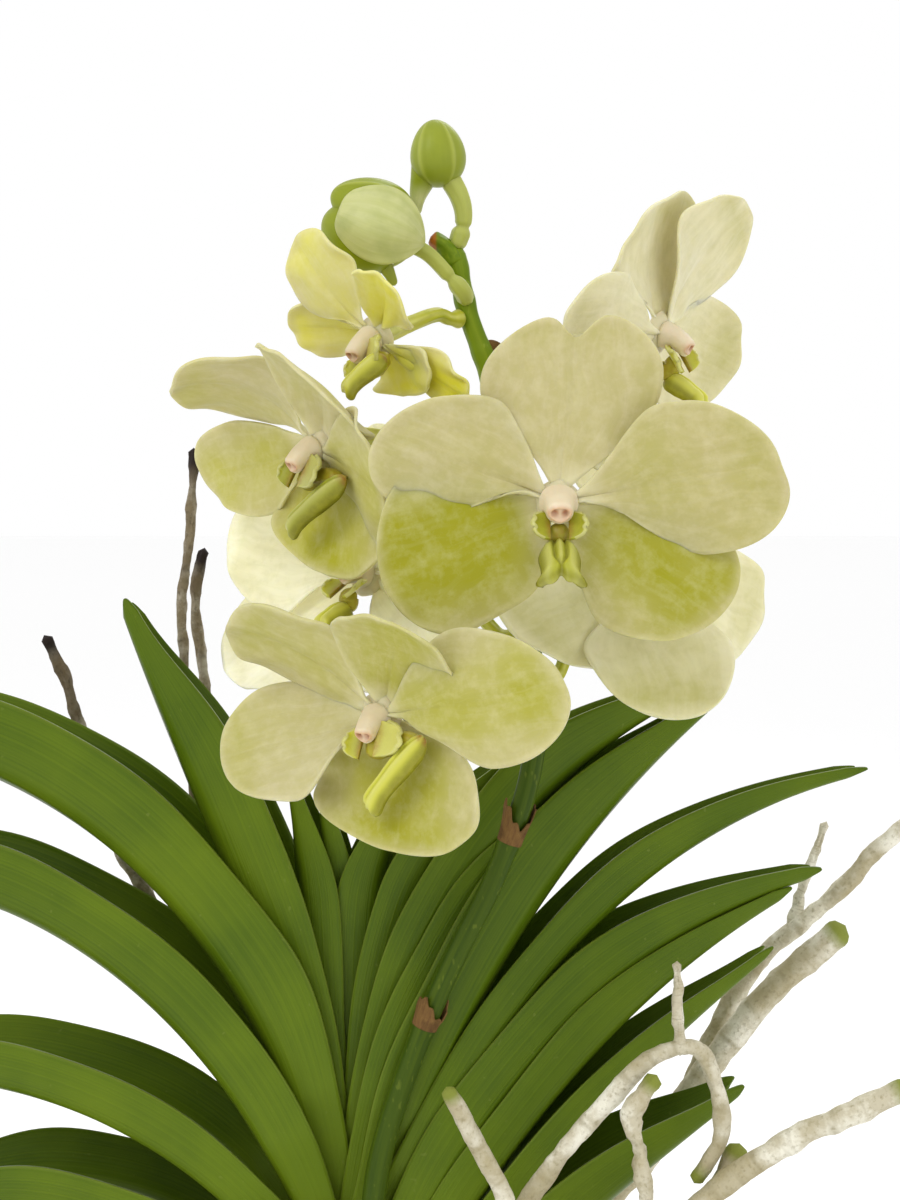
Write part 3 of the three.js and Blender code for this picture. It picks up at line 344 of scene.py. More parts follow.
class OrchidColours(bpy.types.PropertyGroup):
    """Colours of the plant and its vase"""
    leaf: colour("Leaf", "Leaf blade", (0.056, 0.102, 0.0032, 1))
    leaf_pale: colour("Leaf, pale", "Leaf margins, keel and streaks", (0.16, 0.23, 0.006, 1))
    cream: colour("Petal cream", "Petals and upper sepal", (0.50, 0.455, 0.225, 1))
    green: colour("Petal green", "Lower sepals and flushed parts", (0.33, 0.325, 0.012, 1))
    yellow: colour("Petal yellow", "The youngest bloom's flush", (0.74, 0.71, 0.05, 1))
    # Ivory is also what the blooms at the back are lightened towards as painted backlight, and it paints the
    # rims' edge highlight in part.
    ivory: colour("Petal ivory", "The palest blooms and petal rims", (0.93, 0.89, 0.67, 1))
    column: colour("Column", "Column of each bloom", (0.74, 0.64, 0.45, 1))
    anther: colour("Anther cap", "Ring round each column's cap", (0.60, 0.33, 0.17, 1))
    lip: colour("Lip", "Lip's yellow green", (0.32, 0.33, 0.015, 1))
    lip_yellow: colour("Lip, yellow", "Lip's bright yellow", (0.62, 0.61, 0.045, 1))
    lip_olive: colour("Lip, olive", "Lip's flanks and underside", (0.19, 0.18, 0.006, 1))
    spike: colour("Spike", "Flower spike", (0.12, 0.20, 0.005, 1))
    bud: colour("Bud", "Closed bud", (0.24, 0.285, 0.004, 1))
    root: colour("Root", "Aerial root's silvery coat", (0.56, 0.51, 0.37, 1))
    root_dried: colour("Root, dried", "Dried aerial root", (0.22, 0.175, 0.105, 1))
    sheath: colour("Sheath", "Dry papery sheath", (0.13, 0.065, 0.025, 1))


def sizes():
    return bpy.context.scene.orchid_sizes


def colours():
    return bpy.context.scene.orchid_colours


# ---- curves and profiles ------------------------------------------------------------------

def smooth(x):
    x = np.clip(x, 0, 1)
    return x * x * (3 - 2 * x)


def step(x, start, run):
    """0 up to start, 1 from start + run on, and smooth between."""
    return smooth((x - start) / run)


def mix(a, b, t):
    return a + (b - a) * t


def smooth_path(points, samples=400):
    """Evenly spaced points on the rounded line through the given ones, and its length."""
    p = [np.array(q, float) for q in points]
    p = [2 * p[0] - p[1]] + p + [2 * p[-1] - p[-2]]
    line = []
    for a, b, c, d in zip(p, p[1:], p[2:], p[3:]):
        ta, tb, tc = (np.linalg.norm(y - x) ** 0.5 for x, y in ((a, b), (b, c), (c, d)))
        m1 = ((b - a) / ta - (c - a) / (ta + tb) + (c - b) / tb) * tb
        m2 = ((c - b) / tb - (d - b) / (tb + tc) + (d - c) / tc) * tb
        t = np.linspace(0, 1, 60, endpoint=False)[:, None]
        line.append(b + m1 * t + (3 * (c - b) - 2 * m1 - m2) * t ** 2
                    + (2 * (b - c) + m1 + m2) * t ** 3)
    line = np.vstack(line + [p[-2][None]])
    run = np.r_[0, np.cumsum(np.linalg.norm(np.diff(line, axis=0), axis=1))]
    even = np.linspace(0, run[-1], samples)
    return np.stack([np.interp(even, run, line[:, k]) for k in range(3)], 1), run[-1]


def path_frames(line):
    """Tangents and two cross directions that don't twist along a line."""
    tangents = np.gradient(line, axis=0)
    tangents /= np.linalg.norm(tangents, axis=1)[:, None]
    first = np.cross(tangents[0], (0.0, 1.0, 0.0) if abs(tangents[0][1]) < 0.9 else (1.0, 0, 0))
    across = [first / np.linalg.norm(first)]
    for tangent in tangents[1:]:
        side = across[-1] - tangent * np.dot(across[-1], tangent)
        across.append(side / np.linalg.norm(side))
    across = np.array(across)
    return tangents, across, np.cross(tangents, across)


def sample(table, v):
    """Rows of a table at shares v of the way down it, blended between neighbours."""
    place = np.clip(v, 0, 1) * (len(table) - 1)
    low = np.minimum(place.astype(int), len(table) - 2)
    return mix(table[low], table[low + 1], (place - low)[:, None])


def outward(across, upward, share, angle):
    """Directions away from a line, at a share of the way along it and an angle round it."""
    return (np.cos(angle)[:, None] * sample(across, share)
            + np.sin(angle)[:, None] * sample(upward, share))


def turn_matrix(axis, degrees):
    """A turn about one axis."""
    return np.array(Matrix.Rotation(math.radians(degrees), 3, axis))


def bumps(points, scale, seed=0.0):
    """Smooth noise between -1 and 1 at each point."""
    return np.array([noise.noise(Vector((x * scale + seed, y * scale, z * scale)))
                     for x, y, z in points])


# ---- building pieces -----------------------------------------------------------------------

def surface(name, columns, rows, place):
    """A grid bent into place. place takes u and v from 0 to 1 and gives millimetres."""
    bpy.ops.object.select_all(action="DESELECT")
    bpy.ops.mesh.primitive_grid_add(x_subdivisions=columns, y_subdivisions=rows, size=2,
                                    location=(0, 0, 0))
    piece = bpy.context.object
    piece.name = piece.data.name = name
    flat = vertices(piece)
    set_spots(piece, place((flat[:, 0] + 1) / 2, (flat[:, 1] + 1) / 2))
    return piece


def vertices(piece):
    """Where a piece's vertices are, in metres."""
    flat = np.empty(len(piece.data.vertices) * 3)
    piece.data.vertices.foreach_get("co", flat)
    return flat.reshape(-1, 3)


def spots(piece):
    """Where a piece's vertices are, in millimetres."""
    return vertices(piece) / MM


def set_spots(piece, points):
    """Moves a piece's vertices to the given places, in millimetres."""
    piece.data.vertices.foreach_set("co", (np.asarray(points) * MM).ravel())
    piece.data.update()


def pick(*pieces):
    """Selects these pieces and no others, with the first one active."""
    bpy.ops.object.select_all(action="DESELECT")
    for piece in pieces:
        piece.select_set(True)
    bpy.context.view_layer.objects.active = pieces[0]


def weld(piece, closed=True):
    """Closes seams and poles, and points all faces of a closed piece outwards."""
    pick(piece)
    bpy.ops.object.mode_set(mode="EDIT")
    bpy.ops.mesh.select_all(action="SELECT")
    bpy.ops.mesh.remove_doubles(threshold=WELD_REACH)
    if closed:
        bpy.ops.mesh.normals_make_consistent(inside=False)
    bpy.ops.object.mode_set(mode="OBJECT")
    return piece


def modify(piece, kind, **values):
    """Adds a modifier, sets it and applies it."""
    bpy.context.view_layer.objects.active = piece
    modifier = piece.modifiers.new(kind.lower(), kind)
    for key, value in values.items():
        setattr(modifier, key, value)
    bpy.ops.object.modifier_apply(modifier=modifier.name)
    return piece


def thicken(piece, thickness):
    """Gives a sheet its thickness, half to each side."""
    return modify(piece, "SOLIDIFY", thickness=thickness, offset=0, use_even_offset=False)


def tint(piece, name, values):
    """Stores a number on every vertex, for the piece's material."""
    attribute = piece.data.attributes.new(name, "FLOAT", "POINT")
    attribute.data.foreach_set("value", np.broadcast_to(values, len(piece.data.vertices)).astype("f"))


def lay_uv(piece, across, along):
    """Sets the piece's UV map from a pair of numbers at every vertex."""
    corners = np.empty(len(piece.data.loops), int)
    piece.data.loops.foreach_get("vertex_index", corners)
    pairs = np.stack([across[corners], along[corners]], 1)
    piece.data.uv_layers.active.data.foreach_set("uv", pairs.ravel())


def joined(name, pieces):
    """Several pieces made one object."""
    pick(*pieces)
    if len(pieces) > 1:
        bpy.ops.object.join()
    whole = bpy.context.object
    whole.name = whole.data.name = name
    return whole


def hand_over(piece, material, slot, *nodes):
    """Finishes a piece: smooth shading, its material, its body and the nodes it stands for."""
    pick(piece)
    bpy.ops.object.shade_smooth()
    piece.data.materials.clear()
    piece.data.materials.append(material)
    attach(piece, "root")
    if nodes:
        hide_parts(*nodes)
    return piece


def tube(name, path, radius, columns=16, rows=90, spread=0.5, blunt=1.0):
    """A closed tube. radius takes the share along it and the angle round it.

    spread crowds the rows towards both ends, and a blunt below 1 flattens the round ends.
    """
    line, run = smooth_path(path)
    _, across, upward = path_frames(line)

    def place(u, v):
        share = mix(v, 0.5 - 0.5 * np.cos(np.pi * v), spread)
        angle = 2 * np.pi * u
        thick = radius(share, angle)
        size = np.maximum(thick * blunt, 0.01)
        for end in (share * run, (1 - share) * run):
            thick = thick * np.sqrt(np.clip(1 - (1 - np.minimum(end / size, 1)) ** 2, 0, 1))
        return sample(line, share) + outward(across, upward, share, angle) * thick[:, None]

    return weld(surface(name, columns, rows, place))


# ---- materials ---------------------------------------------------------------------------

class Shader:
    """A material's node tree, built one node at a time."""

    def __init__(self, name, **sockets):
        self.material = bpy.data.materials.new(name)
        self.material.use_nodes = True
        self.tree = self.material.node_tree
        self.surface = self.tree.nodes["Principled BSDF"]
        for key, value in sockets.items():
            self.surface.inputs[key.replace("_", " ")].default_value = value

    def node(self, kind, settings=(), **inputs):
        """A new node. Its inputs are given by name, or by number as i0, i1 and so on."""
        made = self.tree.nodes.new("ShaderNode" + kind)
        for key, value in settings:
            setattr(made, key, value)
        for key, value in inputs.items():
            numbered = key[0] == "i" and key[1:].isdigit()
            self.feed(made.inputs[int(key[1:]) if numbered else key.replace("_", " ")], value)
        return made

    def feed(self, socket, value):
        """Gives a socket its value: another node's output, a number or a colour."""
        if isinstance(value, bpy.types.NodeSocket):
            self.tree.links.new(value, socket)
        else:
            socket.default_value = value

    def math(self, operation, a, b=0.5):
        return self.node("Math", [("operation", operation)], i0=a, i1=b).outputs[0]

    def place(self, source, scale):
        """Texture coordinates: source is UV or Object, stretched by scale."""
        coordinates = self.node("TexCoord").outputs[source]
        return self.node("Mapping", Vector=coordinates, Scale=scale).outputs[0]

    def cloud(self, where, scale, detail=3.0, roughness=0.5):
        return self.node("TexNoise", Vector=where, Scale=scale, Detail=detail,
                         Roughness=roughness).outputs["Fac"]

    def grain(self, scale, detail=3.0, roughness=0.5):
        """Noise that runs through the piece, whatever way its surface turns."""
        return self.cloud(self.place("Object", (1, 1, 1)), scale, detail, roughness)

    def value(self, name):
        return self.node("Attribute", [("attribute_name", name)]).outputs["Fac"]

    def ramp(self, factor, *stops):
        """A smooth map of one number to another, given as (at, value) pairs."""
        made = self.node("ValToRGB", Fac=factor)
        ramp = made.color_ramp
        while len(ramp.elements) < len(stops):
            ramp.elements.new(0.5)
        for element, (at, value) in zip(ramp.elements, stops):
            element.position = at
            element.color = (value, value, value, 1) if isinstance(value, (int, float)) else value
        return made.outputs["Color"]

    def blend(self, factor, a, b):
        return self.node("Mix", [("data_type", "RGBA")], i0=factor, i6=a, i7=b).outputs[2]

    def uv(self):
        return self.node("SeparateXYZ", Vector=self.node("TexCoord").outputs["UV"]).outputs

    def finish(self, base, bump=None, depth=0.0002, roughness=None):
        self.tree.links.new(base, self.surface.inputs["Base Color"])
        if roughness is not None:
            self.tree.links.new(roughness, self.surface.inputs["Roughness"])
        if bump is not None:
            made = self.node("Bump", Height=bump, Distance=depth, Strength=1.0)
            self.tree.links.new(made.outputs[0], self.surface.inputs["Normal"])
        return self.material


LEAF_MARGIN = (0.18, 0.23, 0.03, 1)
LEAF_FLECK = (0.2, 0.24, 0.05, 1)


def leaf_material():
    """Waxy green with fine lengthwise veins, a paler foot, keel and margins, and small flecks."""
    c = colours()
    s = Shader("leaf_wax", Specular_IOR_Level=0.15, Subsurface_Weight=0.05,
               Subsurface_Radius=(0.4, 0.8, 0.1), Subsurface_Scale=0.002)
    across, along = s.uv()[:2]
    veins = s.cloud(s.place("UV", (60, 1.2, 1)), 1.0, 3.0, 0.6)
    blotch = s.grain(20.0, 3.0, 0.55)
    off_centre = s.math("ABSOLUTE", s.math("SUBTRACT", across, 0.5), 0)
    margin = s.ramp(off_centre, (0.0, 0.35), (0.02, 0.0), (0.485, 0.0), (0.5, 0.5))
    base = s.blend(s.ramp(veins, (0.35, 0.0), (0.75, 0.4)), c.leaf, c.leaf_pale)
    base = s.blend(s.ramp(blotch, (0.38, 0.0), (0.72, 0.5)), base, c.leaf_pale)
    base = s.blend(s.ramp(along, (0.0, 0.6), (0.32, 0.0)), base, c.leaf_pale)
    base = s.blend(margin, base, LEAF_MARGIN)
    flecks = s.ramp(s.grain(420.0, 1.0), (0.74, 0.0), (0.8, 0.3))
    base = s.blend(flecks, base, LEAF_FLECK)
    rough = s.ramp(blotch, (0.3, 0.3), (0.7, 0.48))
    return s.finish(base, veins, 0.0002, rough)


def tepal_material():
    """Cream petals flushed with green, faintly veined, mottled and paler towards the rim, that rim partly a
    painted edge highlight; the blooms at the back are made paler as painted backlight.
    """
    c = colours()
    s = Shader("tepal_cream", Roughness=0.5, Specular_IOR_Level=0.2, Subsurface_Weight=0.4,
               Subsurface_Radius=(1.0, 0.85, 0.3), Subsurface_Scale=0.002, Sheen_Weight=0.05,
               Sheen_Roughness=0.4)
    across, along = s.uv()[:2]
    place = s.place("Object", (1, 1, 1))
    wander = s.cloud(place, 45.0, 2.0)
    fan = s.math("MULTIPLY", s.math("SUBTRACT", across, 0.5), 16.0)
    fan = s.math("ADD", fan, s.math("MULTIPLY", wander, 5.0))
    lanes = s.node("CombineXYZ", X=fan, Y=s.math("MULTIPLY", along, 2.0)).outputs[0]
    veins = s.cloud(lanes, 1.0, 3.0, 0.6)
    mottle = s.cloud(place, 230.0, 4.0, 0.65)
    cloud = s.cloud(place, 32.0, 2.0)
    off = s.math("ABSOLUTE", s.math("SUBTRACT", across, 0.5), 0)
    middle = s.ramp(off, (0.0, 1.0), (0.2, 0.9), (0.47, 0.3))
    reach = s.ramp(along, (0.0, 0.6), (0.25, 1.0), (0.8, 0.95), (1.0, 0.5))
    flush = s.math("MULTIPLY", s.math("MULTIPLY", s.value("green"), middle), reach)
    drift = s.math("MULTIPLY", s.math("SUBTRACT", cloud, 0.47), 1.1)
    tip = s.math("MULTIPLY", s.ramp(along, (0.7, 0.0), (0.88, 0.25), (0.97, 0.0)), middle)
    flush = s.math("MAXIMUM", s.math("ADD", s.math("ADD", flush, drift), tip), 0.0)
    leafy = s.blend(s.value("bright"), c.green, c.yellow)
    # pale lightens a whole bloom towards ivory: painted backlight on the blooms at the back
    base = s.blend(flush, s.blend(s.value("pale"), c.cream, c.ivory), leafy)
    base = s.blend(s.ramp(veins, (0.4, 0.0), (0.75, 0.14)), base, leafy)
    base = s.blend(s.ramp(veins, (0.25, 0.07), (0.5, 0.0)), base, c.ivory)
    base = s.blend(s.ramp(mottle, (0.3, 0.12), (0.5, 0.0)), base, leafy)
    base = s.blend(s.ramp(mottle, (0.45, 0.0), (0.75, 0.14)), base, c.ivory)
    # The paler rim is partly the petal's own margin and partly a painted edge highlight.
    base = s.blend(s.ramp(s.value("rim"), (0.9, 0.0), (1.0, 0.15)), base, c.ivory)
    base = s.blend(s.ramp(along, (0.0, 0.5), (0.2, 0.0)), base, c.ivory)
    relief = s.math("ADD", s.math("MULTIPLY", veins, 0.8), s.math("MULTIPLY", mottle, 0.4))
    return s.finish(base, relief, 0.00015)


COLUMN_FOOT = (0.64, 0.59, 0.36, 1)
COLUMN_BLUSH = (0.72, 0.54, 0.36, 1)
COLUMN_PIT = (0.40, 0.13, 0.04, 1)
COLUMN_GRAIN = (0.82, 0.66, 0.46, 1)


def column_material():
    """Creamy white, with an orange brown ring round the cap and darker pits."""
    c = colours()
    s = Shader("column_cream", Roughness=0.38, Subsurface_Weight=0.35,
               Subsurface_Radius=(1.0, 0.7, 0.4), Subsurface_Scale=0.002)
    grain = s.grain(700.0, 3.0)
    blush = s.grain(260.0, 2.0)
    base = s.blend(s.value("foot"), c.column, COLUMN_FOOT)
    base = s.blend(s.ramp(blush, (0.4, 0.0), (0.7, 0.25)), base, COLUMN_BLUSH)
    base = s.blend(s.math("MULTIPLY", s.value("cap"), 0.8), base, c.anther)
    base = s.blend(s.math("MULTIPLY", s.value("pit"), 0.9), base, COLUMN_PIT)
    base = s.blend(s.ramp(grain, (0.5, 0.0), (0.8, 0.3)), base, COLUMN_GRAIN)
    return s.finish(base, grain, 0.00012)


LIP_RIDGE = (0.64, 0.62, 0.28, 1)
LIP_THROAT = (0.30, 0.09, 0.02, 1)


def lip_material():
    """Fleshy yellow green, olive on the flanks, paler on the ridges and lobes."""
    c = colours()
    s = Shader("lip_flesh", Roughness=0.4, Specular_IOR_Level=0.35, Subsurface_Weight=0.25,
               Subsurface_Radius=(1.0, 0.9, 0.2), Subsurface_Scale=0.0015)
    cloud = s.grain(240.0, 4.0, 0.6)
    speck = s.grain(900.0, 2.0)
    base = s.blend(s.value("yellow"), c.lip, c.lip_yellow)
    base = s.blend(s.math("MULTIPLY", s.value("olive"), 0.8), base, c.lip_olive)
    base = s.blend(s.ramp(cloud, (0.45, 0.0), (0.8, 0.3)), base, c.lip_yellow)
    base = s.blend(s.math("MULTIPLY", s.value("pale"), 0.75), base, LIP_RIDGE)
    dots = s.ramp(speck, (0.4, 0.5), (0.6, 1.0))
    base = s.blend(s.math("MULTIPLY", s.value("throat"), dots), base, LIP_THROAT)
    return s.finish(base, cloud, 0.0002)


STALK_NECK = (0.60, 0.57, 0.22, 1)
STALK_FOOT = (0.46, 0.46, 0.035, 1)
STALK_RIB = (0.66, 0.65, 0.20, 1)
STALK_SHADE = (0.27, 0.31, 0.015, 1)


def stalk_material():
    """Yellow green flower stalk with paler ribs."""
    s = Shader("stalk_green", Roughness=0.4, Specular_IOR_Level=0.3, Subsurface_Weight=0.2,
               Subsurface_Radius=(0.8, 0.9, 0.3), Subsurface_Scale=0.002)
    across, along = s.uv()[:2]
    cloud = s.grain(260.0, 3.0)
    base = s.blend(s.ramp(along, (0.0, 0.0), (0.5, 1.0)), STALK_NECK, STALK_FOOT)
    ribs = s.math("ABSOLUTE", s.math("SINE", s.math("MULTIPLY", across, 18.85), 0), 0)
    base = s.blend(s.ramp(ribs, (0.4, 0.0), (1.0, 0.5)), base, STALK_RIB)
    base = s.blend(s.ramp(cloud, (0.45, 0.0), (0.8, 0.5)), base, STALK_SHADE)
    return s.finish(base, cloud, 0.0001)


SPIKE_LOW = (0.034, 0.066, 0.002, 1)
SPIKE_LOW_STREAK = (0.085, 0.13, 0.004, 1)
SPIKE_STREAK = (0.26, 0.33, 0.015, 1)
SPIKE_FLECK = (0.32, 0.38, 0.05, 1)
SPIKE_SCAR = (0.42, 0.13, 0.02, 1)


def spike_material():
    """Smooth green spike with lighter streaks, small pale flecks and a rusty scar."""
    c = colours()
    s = Shader("spike_green", Roughness=0.45, Specular_IOR_Level=0.15, Subsurface_Weight=0.04,
               Subsurface_Radius=(0.5, 0.8, 0.2), Subsurface_Scale=0.002)
    streak = s.cloud(s.place("UV", (12, 5, 1)), 1.0, 3.0)
    upper = s.value("upper")
    fleck = s.ramp(s.cloud(s.place("Object", (1, 1, 0.4)), 700.0, 1.0), (0.66, 0.0), (0.72, 0.4))
    body = s.blend(upper, SPIKE_LOW, c.spike)
    light = s.blend(upper, SPIKE_LOW_STREAK, SPIKE_STREAK)
    base = s.blend(s.ramp(streak, (0.35, 0.0), (0.8, 0.8)), body, light)
    flecked = s.math("MULTIPLY", fleck, s.ramp(upper, (0.0, 0.4), (1.0, 1.0)))
    base = s.blend(flecked, base, SPIKE_FLECK)
    base = s.blend(s.value("scar"), base, SPIKE_SCAR)
    return s.finish(base, streak, 0.00015)


SHEATH_FIBRE = (0.26, 0.15, 0.045, 1)
SHEATH_PATCH = (0.05, 0.025, 0.012, 1)


def sheath_material():
    """Dry brown paper with lengthwise fibres."""
    c = colours()
    s = Shader("sheath_paper", Roughness=0.75, Specular_IOR_Level=0.1)
    fibre = s.cloud(s.place("UV", (30, 2, 1)), 1.0, 4.0, 0.7)
    patch = s.grain(160.0, 3.0)
    base = s.blend(s.ramp(fibre, (0.3, 0.0), (0.75, 0.8)), c.sheath, SHEATH_FIBRE)
    base = s.blend(s.ramp(patch, (0.5, 0.0), (0.7, 0.7)), base, SHEATH_PATCH)
    return s.finish(base, fibre, 0.0004)


BUD_CREAM = (0.56, 0.57, 0.26, 1)
BUD_VEIN = (0.33, 0.38, 0.035, 1)
BUD_SHADE = (0.16, 0.22, 0.008, 1)
BUD_SEAM = (0.58, 0.60, 0.16, 1)


def bud_material():
    """Green to creamy bud with soft lengthwise veins and pale seams."""
    c = colours()
    s = Shader("bud_skin", Roughness=0.42, Specular_IOR_Level=0.3, Subsurface_Weight=0.25,
               Subsurface_Radius=(0.8, 0.9, 0.3), Subsurface_Scale=0.003)
    veins = s.cloud(s.place("UV", (9, 1.2, 1)), 1.0, 3.0)
    cloud = s.grain(120.0, 4.0)
    base = s.blend(s.value("cream"), c.bud, BUD_CREAM)
    base = s.blend(s.ramp(veins, (0.45, 0.0), (0.75, 0.35)), base, BUD_VEIN)
    base = s.blend(s.ramp(cloud, (0.45, 0.0), (0.75, 0.35)), base, BUD_SHADE)
    base = s.blend(s.math("MULTIPLY", s.value("line"), 0.8), base, BUD_SEAM)
    return s.finish(base, veins, 0.00025)


FRESH_COAT = dict(light=(0.86, 0.83, 0.70, 1), tan=(0.36, 0.30, 0.15, 1),
                  shade=(0.26, 0.22, 0.11, 1), tip=(0.22, 0.25, 0.04, 1))
DRIED_COAT = dict(light=(0.44, 0.40, 0.31, 1), tan=(0.10, 0.07, 0.035, 1),
                  shade=(0.06, 0.045, 0.025, 1), tip=(0.02, 0.013, 0.01, 1))


def root_material(name, body, coat):
    """Spongy coat of an aerial root: chalky and blotched, with a green or a dark tip."""
    s = Shader(name, Roughness=0.82, Specular_IOR_Level=0.25)
    along = s.uv()[1]
    blotch = s.grain(110.0, 5.0, 0.65)
    speck = s.grain(800.0, 3.0)
    ring = s.cloud(s.place("UV", (1, 60, 1)), 1.0, 2.0)
    patch = s.grain(38.0, 3.0)
    base = s.blend(s.ramp(blotch, (0.42, 0.0), (0.6, 0.9)), body, coat["light"])
    base = s.blend(s.ramp(patch, (0.42, 0.75), (0.58, 0.0)), base, coat["tan"])
    base = s.blend(s.ramp(speck, (0.55, 0.0), (0.75, 0.6)), base, coat["shade"])
    base = s.blend(s.ramp(ring, (0.55, 0.0), (0.72, 0.5)), base, coat["shade"])
    growing = s.math("MULTIPLY", s.ramp(along, (0.965, 0.0), (0.985, 1.0)), s.value("tip"))
    base = s.blend(growing, base, coat["tip"])
    relief = s.math("ADD", blotch, s.math("MULTIPLY", speck, 0.5))
    return s.finish(base, relief, 0.0006)


STEM_DARK = (0.07, 0.06, 0.02, 1)
STEM_LIGHT = (0.25, 0.22, 0.09, 1)


def stem_material():
    """Fibrous brown green stem."""
    s = Shader("stem_bark", Roughness=0.8)
    fibre = s.cloud(s.place("UV", (24, 6, 1)), 1.0, 4.0, 0.7)
    base = s.blend(s.ramp(fibre, (0.3, 0.0), (0.75, 1.0)), STEM_DARK, STEM_LIGHT)
    return s.finish(base, fibre, 0.0008)


GLASS_GREEN = (0.95, 0.985, 0.97, 1)
GLASS_CLEAR = (0.975, 0.995, 0.985, 1)


def glass_material():
    """Clear glass with a faint green cast."""
    s = Shader("vase_glass", Roughness=0.015, IOR=1.47, Transmission_Weight=1.0)
    haze = s.grain(9.0, 2.0)
    base = s.blend(s.ramp(haze, (0.4, 0.0), (0.7, 1.0)), GLASS_GREEN, GLASS_CLEAR)
    return s.finish(base)


# ---- vase and stem ----------------------------------------------------------------------

def turned(name, profile, columns, rows, wobble=None):
    """A closed shape turned about the vertical axis from a profile of (radius, height)."""
    outline = np.array(profile, float)
    run = np.r_[0, np.cumsum(np.linalg.norm(np.diff(outline, axis=0), axis=1))]
    run /= run[-1]
    stops = np.unique(np.r_[run, np.linspace(0, 1, rows + 1)])

    def place(u, v):
        share = np.interp(v, np.linspace(0, 1, len(stops)), stops)
        reach, height = (np.interp(share, run, outline[:, k]) for k in (0, 1))
        angle = 2 * np.pi * u
        if wobble:
            reach = wobble(reach, angle, height)
        return np.stack([reach * np.cos(angle), reach * np.sin(angle), height], 1)

    return weld(surface(name, columns, len(stops) - 1, place))


def arc(centre, radius, start, end, steps=6):
    """Points on a rounded corner, from one angle to another, in degrees."""
    turns = [math.radians(angle) for angle in np.linspace(start, end, steps)]
    return [(centre[0] + radius * math.cos(a), centre[1] + radius * math.sin(a)) for a in turns]


def vase_profile():
    """From the middle of the foot, up the outside, over the rim and down the inside."""
    v = VASE
    lip, foot, bowl = v["wall"] / 2, v["foot_round"], v["inner_round"]
    outer = [(0, 0), (v["foot"] - foot, 0)] + arc((v["foot"] - foot, foot), foot, -90, -4)
    mouth = arc((v["mouth"] - lip, v["height"] - lip), lip, 0, 180, 10)
    inner_foot = v["foot"] - v["wall"]
    inner = arc((inner_foot - bowl, v["base"] + bowl), bowl + v["inner_flare"], 0, -90, 8)
    return outer + mouth + inner + [(0, v["base"])]


def build_vase():
    piece = turned("vase_glass", vase_profile(), *VASE_CELLS)
    hand_over(piece, glass_material(), "glass", "vase")


def build_stem():
    s = STEM
    wide, thin = s["crown"], s["radius"]
    profile = [(0, s["bottom"]), (wide - 7, s["bottom"]), (wide - 2.5, s["bottom"] + 4),
               (wide, s["bottom"] + 12), (wide, s["crown_top"] - 4), (thin + 1.5, s["crown_top"] + 1),
               (thin, s["crown_top"] + 5), (thin, s["top"] - 8), (thin - 1.5, s["top"] - 3),
               (0, s["top"])]

    def wobble(reach, angle, height):
        scars = s["scar"] * np.abs(np.sin(height * np.pi / LEAF["node_step"])) ** 0.5
        return reach * (0.96 + 0.03 * np.sin(5 * angle + height * 0.1)) - scars * (reach > 1)

    piece = turned("stem_bark", profile, *STEM_CELLS, wobble)
    hand_over(piece, stem_material(), "stem", "stem")


# ---- leaves -------------------------------------------------------------------------------

def leaf_keel(leaf, order):
    """Points on a leaf's keel, and how steep it is at each."""
    count = 400
    s = np.linspace(0, 1, count + 1)
    slope = np.radians((1 - s) ** 2 * leaf.rise + 2 * s * (1 - s) * leaf.arch + s ** 2 * leaf.fall)
    steps = np.stack([leaf.side * np.cos(slope), 0 * s, np.sin(slope)], 1) * leaf.length / count
    node = LEAF["top_node"] - LEAF["node_step"] * order
    start = np.array([leaf.side * LEAF["keel_start"], 0, node])
    return start + np.vstack([np.zeros(3), np.cumsum((steps[1:] + steps[:-1]) / 2, 0)]), slope[:, None]


def build_leaf(leaf, order, material):
    """A strap folded along its keel: a narrow sheath round the stem that opens into the blade."""
    side, run = leaf.side, leaf.length
    keel, slope = leaf_keel(leaf, order)
    flare_full = LEAF["layer_step"] * order
    seed = order * 7.3

    def place(u, v):
        u = 2 * u - 1
        tip = 0.035 * np.exp(-(u / 0.3) ** 2) + 0.03 * np.abs(u) ** 4 + 0.012 * (u > 0)
        s = v - tip * step(v, 0.75, 0.25)
        along = s * run
        half = mix(LEAF["sheath_half_width"], leaf.width, smooth(along / 80))
        half = half * (1 - 0.8 * step(s, 0.6, 0.42) ** 1.3)
        half = half * (1 + 0.02 * np.sin(along / 9 + seed) * np.abs(u) ** 3)
        flare = np.minimum(LEAF["sheath_flare"] * np.minimum(along, LEAF["sheath_length"]), flare_full)
        gap = mix(LEAF["sheath_gap"] + flare, LEAF["keel_gap"],
                  smooth((along - LEAF["sheath_length"]) / 150))
        opened = smooth(along / LEAF["opening_length"])
        reach = half * np.abs(u)
        spread = np.where(u < 0, LEAF["near_spread"], LEAF["far_spread"])
        spread = np.radians(mix(1.0, spread, opened))
        fold = np.sqrt(1 - (1 - np.minimum(np.abs(u) / 0.28, 1)) ** 2)
        belly = 0.05 * half * np.sin(np.pi * np.abs(u)) * opened
        aside = np.sign(u) * (gap * fold + reach * np.sin(spread) + belly)
        lean = sample(slope, s)[:, 0]
        up = np.stack([-side * np.sin(lean), 0 * lean, np.cos(lean)], 1)
        point = sample(keel, s) + up * (reach * np.cos(spread))[:, None]
        point[:, 1] += aside
        return point

    piece = surface(leaf.name + "_blade", LEAF_COLUMNS, max(40, int(run / LEAF_CELL)), place)
    thicken(piece, sizes().leaf_thickness)
    hand_over(piece, material, "leaf", leaf.name)


def build_leaves():
    material = leaf_material()
    for order, leaf in enumerate(LEAVES):
        build_leaf(leaf, order, material)


# ---- flower spike ---------------------------------------------------------------------------

